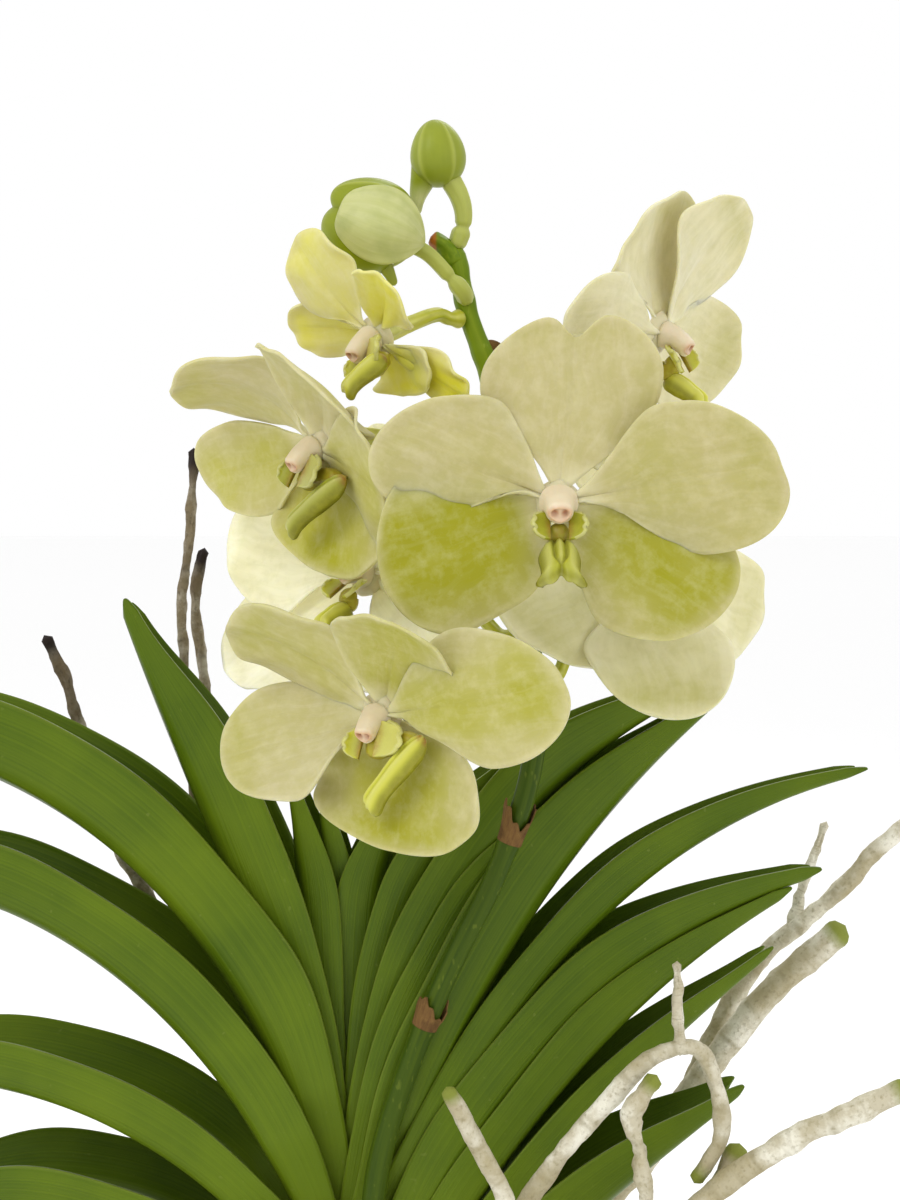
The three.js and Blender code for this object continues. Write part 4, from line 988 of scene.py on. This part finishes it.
def spike_shaft():
    """The shaft, swollen at its nodes, with the dry stub of the cut top."""
    def radius(v, angle):
        swell = sum(0.35 * np.exp(-((v - at) / 0.008) ** 2) for at in SPIKE_NODES)
        return mix(*SPIKE_RADII, v) + swell + 0.06 * np.sin(7 * angle + 9 * v)

    def stub_radius(v, angle):
        return mix(3.0, 2.1, v) + 0.25 * np.sin(3 * angle + 4 * v)

    shaft = tube("flower_spike_shaft", SPIKE_PATH, radius, columns=28, rows=220, spread=0.1)
    tint(shaft, "scar", 0.0)
    tint(shaft, "upper", step(spots(shaft)[:, 2], *SPIKE_LIGHTER))
    stub = tube("flower_spike_stub", SPIKE_STUB, stub_radius, columns=24, rows=24, spread=0.2,
                blunt=0.5)
    tint(stub, "upper", 1.0)
    edge, run = SPIKE_SCARRED
    tint(stub, "scar", smooth((edge - spots(stub)[:, 0]) / run))
    return joined("flower_spike_shaft", [shaft, stub])


def spike_sheath(number, line, run, across, upward):
    """A torn papery cuff that opens away from the shaft."""
    at, wide, tall = SPIKE_SHEATHS[number]

    def place(u, v):
        angle = 2 * np.pi * u
        jag = 1 + 0.35 * np.sin(2 * angle + number) + 0.1 * np.sin(9 * angle)
        share = at + v * tall * jag / run
        opening = v ** 1.6 * (0.7 + 0.3 * np.sin(angle + number))
        reach = mix(mix(*SPIKE_RADII, at) + 0.3, wide, opening)
        return sample(line, share) + outward(across, upward, share, angle) * reach[:, None]

    cuff = weld(surface(f"sheath_{number}", *SHEATH_CELLS, place), closed=False)
    return thicken(cuff, sizes().sheath_thickness)


def spike_bract(number, line):
    """A small boat-shaped scale below a stalk."""
    at, heading, size = SPIKE_BRACTS[number]
    out = np.array(heading) / np.linalg.norm(heading)
    side = np.cross(out, (0, 1, 0.3))
    side /= np.linalg.norm(side)
    lift = np.cross(side, out)
    start = sample(line, np.array([at]))[0]

    def place(u, v):
        wide = 2.6 * np.sin(np.pi * np.clip(v * 0.85 + 0.15, 0, 1)) ** 0.7
        x = (2 * u - 1) * wide
        return (start + out * (v * size)[:, None] + side * x[:, None]
                + lift * (-1.2 + 0.22 * x ** 2 + 1.5 * v)[:, None])

    scale = surface(f"bract_{number}", *BRACT_CELLS, place)
    return thicken(scale, sizes().sheath_thickness)


def build_spike():
    hand_over(spike_shaft(), spike_material(), "spike", "flower_spike")
    line, run = smooth_path(SPIKE_PATH)
    _, across, upward = path_frames(line)
    papers = [spike_sheath(number, line, run, across, upward) for number in range(len(SPIKE_SHEATHS))]
    papers += [spike_bract(number, line) for number in range(len(SPIKE_BRACTS))]
    hand_over(joined("flower_spike_sheaths", papers), sheath_material(), "spike", "flower_spike")


# ---- blooms ----------------------------------------------------------------------------------

def bloom_frame(bloom):
    """Where a bloom's own axes are: x to its right, y up its face and z out of it."""
    upright = turn_matrix("Z", bloom.turn) @ turn_matrix("X", 90 - bloom.nod)
    return np.array(bloom.foot, float), upright @ turn_matrix("Z", -bloom.spin)


def tepal_piece(name, bloom, number):
    """One petal or sepal: a rounded square bent along its spine, cupped, waved and creased."""
    angle, tilt, curl, roll, run, width, slant, claw, lean, notch = bloom.tepals[number]
    kind = TEPAL_KINDS[number]
    centre, rotation = bloom_frame(bloom)
    turn = rotation @ turn_matrix("Z", -angle) @ turn_matrix("Y", roll)
    ripple = sizes().tepal_ripple / MM
    seed = number * 2.1 + bloom.nod * 0.3
    stored = {}

    def place(u, w):
        u, w = 2 * u - 1, 2 * w - 1
        across = u * np.sqrt(1 - w * w / 2)
        high = w * np.sqrt(1 - u * u / 2)
        dip = notch * np.exp(-(u / 0.3) ** 2) * np.maximum(0, w) ** 3
        along = np.clip((1 + high - dip) / 2, 0, 1) ** 0.8
        rim = np.sqrt(np.clip(across ** 2 + high ** 2, 0, 1))
        x = width / 2 * across * mix(claw + lean * u, 1, smooth(along / 0.55))
        x = x * (1 + 0.02 * np.sin(11 * along + seed) * rim ** 4)
        first, bend = math.radians(tilt), np.radians(tilt + curl * along)
        if abs(curl) > 0.5:
            scale = run / math.radians(curl)
            reach = scale * (np.sin(bend) - math.sin(first))
            depth = scale * (math.cos(first) - np.cos(bend))
        else:
            reach, depth = run * along * math.cos(first), run * along * math.sin(first)
        wave = kind["ruffle"] * np.sin(along * 9 + np.where(u > 0, 1.2, 0)) * across ** 2
        wave = wave * smooth(along / 0.4)
        crease = -0.9 * np.exp(-(u / 0.25) ** 2) * (1 - along)
        fine = ripple * (np.sin(17 * along + 6 * across + seed) * rim ** 3
                         + 0.6 * np.sin(9 * across + 5 * along + 2 * seed) * along)
        rib = -0.35 * np.exp(-(across / 0.05) ** 2) * (1 - along ** 2)
        rise = kind["cup"] * across ** 2 + wave + crease + fine + rib
        y = TEPAL_START + reach - np.sin(bend) * rise + slant * x * along
        z = kind["base"] + depth + np.cos(bend) * rise
        stored.update(across=0.5 + 0.5 * across, along=along, rim=rim)
        return centre + np.stack([x, y, z], 1) @ turn.T

    piece = surface(name, *TEPAL_CELLS, place)
    lay_uv(piece, stored["across"], stored["along"])
    tones = BLOOM_TONES[bloom.name]
    tint(piece, "green", tones.greens[number])
    # pale: how far the bloom is lightened towards ivory, painted backlight on the blooms at the back
    tint(piece, "pale", tones.pale)
    tint(piece, "bright", tones.bright)
    # rim drives the paler margin, partly the petal's own and partly a painted edge highlight
    tint(piece, "rim", stored["rim"])
    return thicken(piece, sizes().tepal_thickness)


def in_bloom(bloom, points):
    """From the bloom's own axes into place."""
    centre, rotation = bloom_frame(bloom)
    return centre + np.asarray(points, float) @ rotation.T


def column_piece(bloom):
    """The stubby column on its flared foot: a brownish ring round a cap with two oval pits."""
    stout = mix(0.88, 1.1, float(step(bloom.lip.broad, 0.8, 0.4)))

    def radius(v, angle):
        body = np.interp(v, *COLUMN_RADII) * stout
        return body * (1 + 0.04 * np.cos(2 * angle) - 0.02 * np.cos(4 * angle))

    def flare(v, angle):
        body = np.interp(v, *COLUMN_FOOT_RADII)
        return body * (1 + 0.05 * np.cos(5 * angle + 0.6))

    piece = tube(bloom.name + "_column", COLUMN_PATH, radius, columns=56, blunt=0.55)
    local = spots(piece)
    end, facing = np.array(COLUMN_PATH[-1], float), np.array(CAP_FACING)
    ahead = (local - end) @ facing
    upward = (local - end) @ np.array(CAP_UPWARD)
    raised = upward - CAP_RAISE
    face = np.hypot(local[:, 0] / CAP_SIZE[0], raised / CAP_SIZE[1]) / stout
    front = smooth((ahead + 2.4) / 1.0)
    ring = np.exp(-((face - 1) / 0.2) ** 2) * front
    inside = smooth((0.9 - face) / 0.3) * front
    pits = sum(np.exp(-((local[:, 0] - side * PIT_ASIDE) / PIT_SIZE[0]) ** 2
                      - (raised / PIT_SIZE[1]) ** 2) for side in (-1, 1)) * front
    beak = np.exp(-(local[:, 0] / 1.6) ** 2 - ((upward + 2.2) / 0.8) ** 2) * front
    local += np.outer(0.4 * ring + 0.6 * beak - 0.5 * inside - 0.8 * pits, facing)
    tint(piece, "cap", np.clip(0.8 * ring + 0.5 * inside, 0, 1))
    tint(piece, "pit", np.clip(pits, 0, 1))
    tint(piece, "foot", smooth((3.5 - local[:, 2]) / 3.5))
    set_spots(piece, in_bloom(bloom, local))
    foot = tube(bloom.name + "_column_foot", in_bloom(bloom, COLUMN_FOOT_PATH), flare,
                columns=40, rows=16, spread=0.4, blunt=0.3)
    for key, value in (("cap", 0.0), ("pit", 0.0), ("foot", 1.0)):
        tint(foot, key, value)
    return joined(bloom.name + "_column", [piece, foot])


def spike_at(height):
    """The spike's middle and its radius at a height."""
    count = 150
    line, _ = smooth_path(SPIKE_PATH, count + 1)
    place = int(np.argmax(line[:, 2] >= height))
    return line[place], mix(*SPIKE_RADII, place / count)


def stalk_piece(bloom):
    """The ribbed ovary and stalk, from behind the bloom to the spike."""
    neck = in_bloom(bloom, [(0, 0, -2), (0, 0, -12)])
    centre, thick = spike_at(bloom.joint)
    rise = min(4, 0.09 * np.linalg.norm(neck[1] - centre))
    middle = mix(neck[1], centre, 0.5) + (0, 0, rise)
    way = (centre - middle) * (1, 1, 0)
    way /= np.linalg.norm(way)
    stop = centre - way * (thick - 0.6)
    path = [neck[0], neck[1], middle, centre - way * (thick + 2 * GAP + 4), stop]

    def radius(v, angle):
        body = mix(STALK_RADIUS + 0.7, STALK_RADIUS, smooth(v / 0.7)) + 0.9 * step(v, 0.85, 0.1)
        return body * (1 + 0.09 * np.cos(6 * (angle + 1.5 * v)) * (1 - step(v, 0.8, 0.1)))

    return tube(bloom.name + "_stalk", path, radius, columns=30, rows=60, spread=0.2)


def build_blooms():
    petals, cream, green = tepal_material(), column_material(), stalk_material()
    for bloom in BLOOMS:
        name = bloom.name
        sheets = [tepal_piece(f"{name}_tepal_{n}", bloom, n) for n in range(len(bloom.tepals))]
        hand_over(joined(name + "_tepals", sheets), petals, "tepal", name)
        hand_over(column_piece(bloom), cream, "tepal", name)
        hand_over(stalk_piece(bloom), green, "tepal", name)


# ---- lips ------------------------------------------------------------------------------------

def lip_place(bloom, points):
    """From the lip's own axes into place, swung about the column."""
    return in_bloom(bloom, np.asarray(points, float) @ turn_matrix("Z", -bloom.lip.swing).T)


def stain(piece, **shares):
    """Stores how pale, how olive and how reddish each part of the lip is."""
    for key in ("pale", "olive", "throat"):
        tint(piece, key, shares.get(key, 0.0))


def tongue_piece(name, bloom, rear, apex):
    """The fleshy tongue: ridged on top, hollow below, its tip flared and notched."""
    broad = bloom.lip.broad
    bold = float(step(broad, 0.8, 0.4))
    forward = apex - rear
    run = np.linalg.norm(forward)
    forward /= run
    side = np.cross(forward, (0, 1, 0.5))
    side /= np.linalg.norm(side)
    up = np.cross(side, forward)
    stored = {}

    def place(u, v):
        above = u < 0.5
        t = np.where(above, 4 * u - 1, 3 - 4 * u)
        share = mix(v, 0.5 - 0.5 * np.cos(np.pi * v), 0.6)
        grow = np.sqrt(1 - (1 - np.minimum(share / 0.26, 1)) ** 2)
        end = np.sqrt(np.clip(1 - (np.maximum(share - 0.9, 0) / 0.1) ** 2, 0, 1))
        waist, late, tip = step(share, 0.4, 0.3), step(share, 0.72, 0.28), step(share, 0.8, 0.2)
        half = broad * (4.3 * grow - 0.3 * step(share, 0.35, 0.3) + 1.2 * step(share, 0.72, 0.2))
        crest = 2.6 * grow - 0.4 * waist - mix(0.3, 1.2, bold) * late
        margin = -2.4 * grow + 0.4 * waist + mix(0.1, 0.6, bold) * step(share, 0.7, 0.3)

        middle = 1 - step(share, 0.55, 0.2)
        bars = np.exp(-((np.abs(t) - mix(0.42, 0.62, bold)) / 0.22) ** 2)
        bars = bars + bold * np.exp(-(t / 0.12) ** 2) * middle
        groove = np.exp(-((np.abs(t) - bold * 0.28 * middle) / 0.1) ** 2)
        ridges = (mix(0.3, 0.55, bold) * bars - mix(0.35, 1.0, bold) * groove) * grow
        ridges = ridges * (1 - 0.6 * step(share, 0.75, 0.25))

        top = margin + (crest - margin) * (1 - np.abs(t) ** 2.8) ** 0.75 + ridges * (1 - t ** 4)
        under = margin * (0.45 + 0.55 * np.abs(t) ** 3)
        height = np.where(above, top, under) * mix(0.35, 1, end)
        height = mix(0.5 * (top + under) * 0.6, height, end)
        notch = 1.5 * broad ** 2 * np.exp(-(t / 0.2) ** 2) * step(share, 0.7, 0.3)
        along = run * share - notch + 0.25 * np.sin(9 * t + 3) * tip
        wide = half * t * mix(0.72, 1, end)
        height = height + mix(0.3, 1, bold) * np.sin(np.pi * along / run) - 0.9 * t * t * tip

        flank = smooth((np.abs(t) - 0.62) / 0.28)
        feet = 0.7 * step(share, 0.8, 0.15) * bold
        pale = 0.5 * bars * (1 - feet) * above + 0.2 * step(share, 0.94, 0.06)
        olive = flank + 0.9 * (1 - above) + groove * mix(0.3, 0.8, bold) + feet
        stored["pale"] = np.clip(pale, 0, 1)
        stored["olive"] = np.clip(olive, 0, 1)
        stored["throat"] = 0.8 * smooth((0.1 - share) / 0.1) * above
        return lip_place(bloom, rear + np.outer(along, forward) + np.outer(wide, side)
                         + np.outer(height, up))

    piece = surface(name, *TONGUE_CELLS, place)
    stain(piece, **stored)
    return weld(piece)


def lobe_piece(name, bloom, side):
    """An upright side lobe. On a lip that points aside, the right one hoods the column."""
    foot_y, foot_z = LIP_FOOT[1:]
    hooded = side == 1 and bloom.lip.rear[0] > 0
    reach, lift, tall = HOODED_LOBE if hooded else UPRIGHT_LOBE
    stored = {}

    def place(u, v):
        edge = 2 * u - 1
        out = v * (0.25 + 0.75 * np.sqrt(np.clip(1 - edge ** 2, 0, 1)))
        x = side * (2.4 + reach * out + 0.9 * np.sin(np.pi * out))
        y = foot_y + 1.7 + lift + 1.4 * out - tall * edge * (1 - 0.2 * out)
        y = y - 0.25 * np.sin(7 * edge) * v ** 3
        z = foot_z + 2.2 + 2.7 * edge * (1 - 0.1 * out) + (2.0 + lift) * out ** 2
        x = x + side * 0.35 * np.sin(9 * edge + 1) * v ** 4
        stored["pale"] = 0.3 * lift + (0.9 - 0.3 * lift) * step(v, 0.78, 0.22)
        stored["olive"] = (0.75 - 0.3 * lift) * (1 - v)
        stored["throat"] = 0.5 * smooth((0.3 - v) / 0.3)
        return lip_place(bloom, np.stack([x, y, z], 1))

    piece = surface(name, *LOBE_CELLS, place)
    stain(piece, **stored)
    return thicken(piece, LOBE_THICKNESS)


def build_lip(bloom, material):
    """Tongue, two side lobes and the neck that carries them under the column."""
    name = bloom.name.replace("bloom", "lip")
    places = (LIP_FOOT, bloom.lip.rear, bloom.lip.apex)
    foot, rear, apex = (np.array(place, float) for place in places)
    if rear[0] > LIP_ASIDE:
        rear = rear + (rear - apex) * LIP_REACH_BACK
    pieces = [tongue_piece(name + "_tongue", bloom, rear, apex)]
    pieces += [lobe_piece(name + "_wing", bloom, side) for side in (-1, 1)]
    path = [foot + (0, 1.0, -1.6), foot, mix(foot, rear, 0.6), mix(rear, apex, 0.12)]
    neck = tube(name + "_neck", lip_place(bloom, path),
                lambda v, angle: 3.0 - 0.5 * v + 0.12 * np.cos(5 * angle),
                columns=24, rows=26, spread=0.3)
    stain(neck, olive=0.45, throat=0.35)
    whole = joined(name + "_flesh", [*pieces, neck])
    tint(whole, "yellow", BLOOM_TONES[bloom.name].lip)
    hand_over(whole, material, "lip", name)


def build_lips():
    material = lip_material()
    for bloom in BLOOMS:
        build_lip(bloom, material)


# ---- buds ------------------------------------------------------------------------------------

def egg_piece(name, egg, seams, cream):
    """A closed egg, with a raised seam at each of the given angles."""
    tilt = turn_matrix("Y", -egg.lean)
    stored = {}

    def place(u, v):
        angle, polar = 2 * np.pi * u, np.pi * v
        seam = sum(np.exp(-((np.mod(360 * u - at + 180, 360) - 180) / 5) ** 2) for at in seams)
        seam = seam * np.sin(polar) ** 0.5
        wrap = 0.97 + 0.03 * np.cos(3 * angle) + 0.02 * np.sin(2 * angle + 3 * v) + 0.05 * smooth(v)
        y = -np.cos(polar)
        belly = np.sin(polar) * (wrap * (1 - 0.16 * y) * egg.radius + 0.3 * seam)
        points = np.stack([belly * np.cos(angle), belly * np.sin(angle), y * egg.height], 1)
        stored["line"] = 0.4 * seam
        return np.array(egg.centre) + points @ tilt.T

    piece = surface(name, *EGG_CELLS, place)
    tint(piece, "line", stored["line"])
    tint(piece, "cream", cream)
    return weld(piece)


def sepal_wrap(name, egg, facing, half_angle, reach, lift, cream, line):
    """A sepal lifted off an egg, facing the given way, with a rolled rim."""
    tilt = turn_matrix("Y", -egg.lean)
    stored = {}

    def place(u, v):
        u = 2 * u - 1
        polar = np.pi * (0.06 + reach * v * (1 - 0.08 * u ** 4))
        taper = np.sqrt(np.clip(np.sin(np.pi * np.clip(v * 0.74 + 0.02, 0, 1)), 0, 1))
        angle = math.radians(facing) + math.radians(half_angle) * u * taper
        y = -np.cos(polar)
        curl = 0.9 * np.abs(u) ** 5
        belly = np.sin(polar) * (1 - 0.16 * y) * (egg.radius + lift + curl) + 0.3 * (1 - u * u)
        belly = belly + 0.25 * np.sin(5 * u + 4 * v) * np.sin(polar)
        high = y * (egg.height + lift)
        points = np.stack([belly * np.cos(angle), belly * np.sin(angle), high], 1)
        stored["line"] = smooth((np.maximum(np.abs(u), 2 * np.abs(v - 0.5)) - 0.8) / 0.2)
        return np.array(egg.centre) + points @ tilt.T

    piece = surface(name, *BUD_SEPAL_CELLS, place)
    tint(piece, "cream", cream)
    tint(piece, "line", stored["line"] * line)
    return thicken(piece, BUD_SKIN)


def bud_stalk(name, path, wide):
    """A ribbed stalk with a knob at its foot, as wide as given where it meets the bud."""
    def radius(v, angle):
        knob = 0.5 * smooth((0.3 - v) / 0.1) - 0.5 * np.exp(-((v - 0.3) / 0.03) ** 2)
        return (mix(1.8, wide, v) + knob) * (1 + 0.06 * np.cos(6 * angle + 3 * v))

    piece = tube(name, path, radius, columns=24, rows=60, spread=0.2)
    tint(piece, "cream", 0.2)
    tint(piece, "line", 0.55)
    return piece


def closed_bud():
    """The small bud: an egg with three seams, and a spur beside its stalk."""
    egg = egg_piece("bud_1_egg", CLOSED_BUD, seams=(232, 308, 80), cream=0.05)
    spur = tube("bud_1_spur", CLOSED_BUD_SPUR,
                lambda v, angle: mix(6.0, 1.1, v ** 0.8) + 0 * angle,
                columns=24, rows=36, spread=0.3)
    tint(spur, "cream", smooth((576 - spots(spur)[:, 2]) / 6))
    tint(spur, "line", 0.0)
    stalk = bud_stalk("bud_1_stalk", CLOSED_BUD_STALK, wide=3.1)
    return joined("bud_1_closed", [egg, spur, stalk])


def opening_bud():
    """The large bud: two rounded side sepals between a front and a rear one."""
    eggs = OPENING_BUD
    parts = [egg_piece("bud_2_core", eggs["core"], seams=(), cream=0.15),
             egg_piece("bud_2_upper_sepal", eggs["upper_sepal"], seams=(322,), cream=0.0),
             egg_piece("bud_2_lower_sepal", eggs["lower_sepal"], seams=(), cream=0.0),
             sepal_wrap("bud_2_front_sepal", eggs["front_sepal"], facing=274, half_angle=48,
                        reach=0.7, lift=2.0, cream=0.95, line=0.1),
             sepal_wrap("bud_2_rear_sepal", eggs["rear_sepal"], facing=95, half_angle=60,
                        reach=0.86, lift=0.5, cream=0.3, line=0.3)]
    flap = tube("bud_2_flap", OPENING_BUD_FLAP,
                lambda v, angle: mix(3.2, 1.0, v) * (1 - 0.3 * np.sin(angle) ** 2),
                columns=24, rows=24, spread=0.3)
    tint(flap, "cream", 0.1)
    tint(flap, "line", 0.2)
    stalk = bud_stalk("bud_2_stalk", OPENING_BUD_STALK, wide=2.4)
    return joined("bud_2_opening", [*parts, flap, stalk])


def build_buds():
    skin = bud_material()
    hand_over(closed_bud(), skin, "bud", "bud_1")
    hand_over(opening_bud(), skin, "bud", "bud_2")


# ---- roots -----------------------------------------------------------------------------------

def root_piece(name, path, start, end, tip, seed, knobs):
    """A root with swellings, rings and a slightly squashed section."""
    height = sizes().root_bumps / MM
    _, run = smooth_path(path)

    def radius(v, angle):
        body = mix(start, end, v)
        spot = np.stack([v * run / 9, np.cos(angle) * 0.6, np.sin(angle) * 0.6], 1)
        small = np.stack([v * run / 3.2, np.cos(angle) * 1.5, np.sin(angle) * 1.5], 1)
        return body + height * knobs * (1.6 * bumps(spot, 1, seed) + 0.7 * bumps(small, 1, seed + 9))

    rows = int(np.clip(run / ROOT_CELL, 20, 220))
    piece = tube(name, path, radius, columns=ROOT_COLUMNS, rows=rows, spread=0.12)
    tint(piece, "tip", float(tip))
    return piece


def root_start(angle, height):
    """A root's first two points: just inside the stem, and straight out from it."""
    out = np.array([math.cos(math.radians(angle)), math.sin(math.radians(angle)), 0])
    reaches = (STEM["crown"] - 1.0, STEM["crown"] + GAP + 7)
    return [tuple(out * reach + (0, 0, height)) for reach in reaches]


def rising_root(number, pale, dried):
    """A root that climbs out of the vase, with its side branches."""
    root = RISING_ROOTS[number]
    dry = root.name in DRIED_ROOTS
    slim = DRIED_SLIM if dry else 1.0
    path = root_start(root.angle, root.height) + list(root.route)
    parts = [root_piece(root.name + "_trunk", path, root.start * slim, root.end * slim, tip=True,
                        seed=number * 3.7, knobs=KNOBS.get(root.name, 1.0))]
    for wide, route in root.branches:
        parts.append(root_piece(root.name + "_branch", route, wide, wide * 0.9, tip=False,
                                seed=number + 50, knobs=BRANCH_KNOBS))
    hand_over(joined(root.name + "_skin", parts), dried if dry else pale,
              "root_dark" if dry else "root", root.name)


def hanging_root(number, material):
    """A root that winds down inside the vase and comes to rest on its floor."""
    name, start, height, turn, wide = HANGING_ROOTS[number]
    path = root_start(start, height)
    floor = VASE["base"] + wide + GAP
    wall = VASE["foot"] - VASE["wall"] - GLASS_CLEARANCE - wide
    for bend in range(1, HANGING_BENDS + 1):
        t = bend / HANGING_BENDS
        heading = math.radians(start + turn * t * t)
        reach = mix(HANGING_REACH, wall, float(smooth(t * 1.3)))
        path.append((math.cos(heading) * reach, math.sin(heading) * reach,
                     mix(height - 6, floor, float(smooth(t * 1.15)))))
    piece = root_piece(name + "_trunk", path, wide, wide * 0.8, tip=True,
                       seed=number * 5.1 + 100, knobs=HANGING_KNOBS)
    hand_over(joined(name + "_skin", [piece]), material, "root", name)


def build_roots():
    pale = root_material("root_velamen", colours().root, FRESH_COAT)
    dried = root_material("root_dried", colours().root_dried, DRIED_COAT)
    for number in range(len(RISING_ROOTS)):
        rising_root(number, pale, dried)
    for number in range(len(HANGING_ROOTS)):
        hanging_root(number, pale)


# ---- stage -----------------------------------------------------------------------------------

def lay_floor():
    bpy.ops.object.select_all(action="DESELECT")
    bpy.ops.mesh.primitive_plane_add(size=FLOOR_SIZE, location=(0, 0, 0))
    floor = bpy.context.object
    floor.name = "pale_floor"
    s = Shader("pale_floor", Roughness=0.9)
    cloud = s.grain(0.6, 1.0)
    floor.data.materials.append(s.finish(s.blend(cloud, FLOOR_PALE, FLOOR_PALER)))


def light_room():
    world = bpy.data.worlds.new("studio")
    world.use_nodes = True
    world.node_tree.nodes["Background"].inputs["Color"].default_value = (1, 1, 1, 1)
    world.node_tree.nodes["Background"].inputs["Strength"].default_value = 1.0
    bpy.context.scene.world = world
    for name, place, aim, size, power in LIGHTS:
        light = bpy.data.lights.new(name, "AREA")
        light.shape = "DISK"
        light.size = size
        light.energy = power
        lamp = bpy.data.objects.new(name, light)
        bpy.context.scene.collection.objects.link(lamp)
        lamp.location = place
        lamp.rotation_euler = (Vector(aim) - Vector(place)).to_track_quat("-Z", "Y").to_euler()
    bpy.context.scene.view_settings.view_transform = "Standard"


def aim_camera():
    camera = bpy.data.cameras.new("camera")
    camera.sensor_fit = "VERTICAL"
    camera.sensor_height = CAMERA["sensor"]
    camera.lens = CAMERA["lens"]
    camera.clip_start = CAMERA["near"]
    eye = bpy.data.objects.new("camera", camera)
    bpy.context.scene.collection.objects.link(eye)
    eye.location = CAMERA["place"]
    eye.rotation_euler = (math.radians(CAMERA["pitch"]), 0, 0)
    bpy.context.scene.camera = eye


# ---- operators and panel ---------------------------------------------------------------------

class ORCHID_OT_vase(bpy.types.Operator):
    """Turns the flared glass vase"""
    bl_idname = "orchid.vase"
    bl_label = "Glass vase"
    bl_options = {"REGISTER", "UNDO"}

    def execute(self, context):
        build_vase()
        return {"FINISHED"}


class ORCHID_OT_stem(bpy.types.Operator):
    """Turns the woody stem with its leaf scars"""
    bl_idname = "orchid.stem"
    bl_label = "Stem"
    bl_options = {"REGISTER", "UNDO"}

    def execute(self, context):
        build_stem()
        return {"FINISHED"}


class ORCHID_OT_leaves(bpy.types.Operator):
    """Bends the nineteen folded strap leaves"""
    bl_idname = "orchid.leaves"
    bl_label = "Leaves"
    bl_options = {"REGISTER", "UNDO"}

    def execute(self, context):
        build_leaves()
        return {"FINISHED"}


class ORCHID_OT_spike(bpy.types.Operator):
    """Draws the spike, its sheaths and bracts"""
    bl_idname = "orchid.spike"
    bl_label = "Flower spike"
    bl_options = {"REGISTER", "UNDO"}

    def execute(self, context):
        build_spike()
        return {"FINISHED"}


class ORCHID_OT_blooms(bpy.types.Operator):
    """Shapes the tepals, columns and stalks"""
    bl_idname = "orchid.blooms"
    bl_label = "Blooms"
    bl_options = {"REGISTER", "UNDO"}

    def execute(self, context):
        build_blooms()
        return {"FINISHED"}


class ORCHID_OT_lips(bpy.types.Operator):
    """Shapes the lip of each bloom"""
    bl_idname = "orchid.lips"
    bl_label = "Lips"
    bl_options = {"REGISTER", "UNDO"}

    def execute(self, context):
        build_lips()
        return {"FINISHED"}


class ORCHID_OT_buds(bpy.types.Operator):
    """Wraps the two buds"""
    bl_idname = "orchid.buds"
    bl_label = "Buds"
    bl_options = {"REGISTER", "UNDO"}

    def execute(self, context):
        build_buds()
        return {"FINISHED"}


class ORCHID_OT_roots(bpy.types.Operator):
    """Grows the climbing and the hanging roots"""
    bl_idname = "orchid.roots"
    bl_label = "Aerial roots"
    bl_options = {"REGISTER", "UNDO"}

    def execute(self, context):
        build_roots()
        return {"FINISHED"}


class ORCHID_OT_stage(bpy.types.Operator):
    """Sets the floor, the soft light and the camera"""
    bl_idname = "orchid.stage"
    bl_label = "Stage"
    bl_options = {"REGISTER", "UNDO"}

    def execute(self, context):
        lay_floor()
        light_room()
        aim_camera()
        return {"FINISHED"}


MAKERS = (
    ORCHID_OT_vase, ORCHID_OT_stem, ORCHID_OT_leaves, ORCHID_OT_spike,
    ORCHID_OT_blooms, ORCHID_OT_lips, ORCHID_OT_buds, ORCHID_OT_roots,
    ORCHID_OT_stage,
)


class ORCHID_PT_panel(bpy.types.Panel):
    """Lists the orchid's sizes, colours and pieces"""
    bl_label = "Orchid"
    bl_space_type = "VIEW_3D"
    bl_region_type = "UI"
    bl_category = "Orchid"

    def draw(self, context):
        for group in (context.scene.orchid_sizes, context.scene.orchid_colours):
            for key in group.__annotations__:
                self.layout.prop(group, key)
        for made in MAKERS:
            self.layout.operator(made.bl_idname)


def register():
    for made in (OrchidSizes, OrchidColours, *MAKERS, ORCHID_PT_panel):
        bpy.utils.register_class(made)
    bpy.types.Scene.orchid_sizes = bpy.props.PointerProperty(type=OrchidSizes)
    bpy.types.Scene.orchid_colours = bpy.props.PointerProperty(type=OrchidColours)


def unregister():
    del bpy.types.Scene.orchid_colours
    del bpy.types.Scene.orchid_sizes
    for made in (ORCHID_PT_panel, *reversed(MAKERS), OrchidColours, OrchidSizes):
        bpy.utils.unregister_class(made)


def main():
    register()
    for made in MAKERS:
        getattr(bpy.ops.orchid, made.bl_idname.split(".")[1])()


if __name__ == "__main__":
    main()
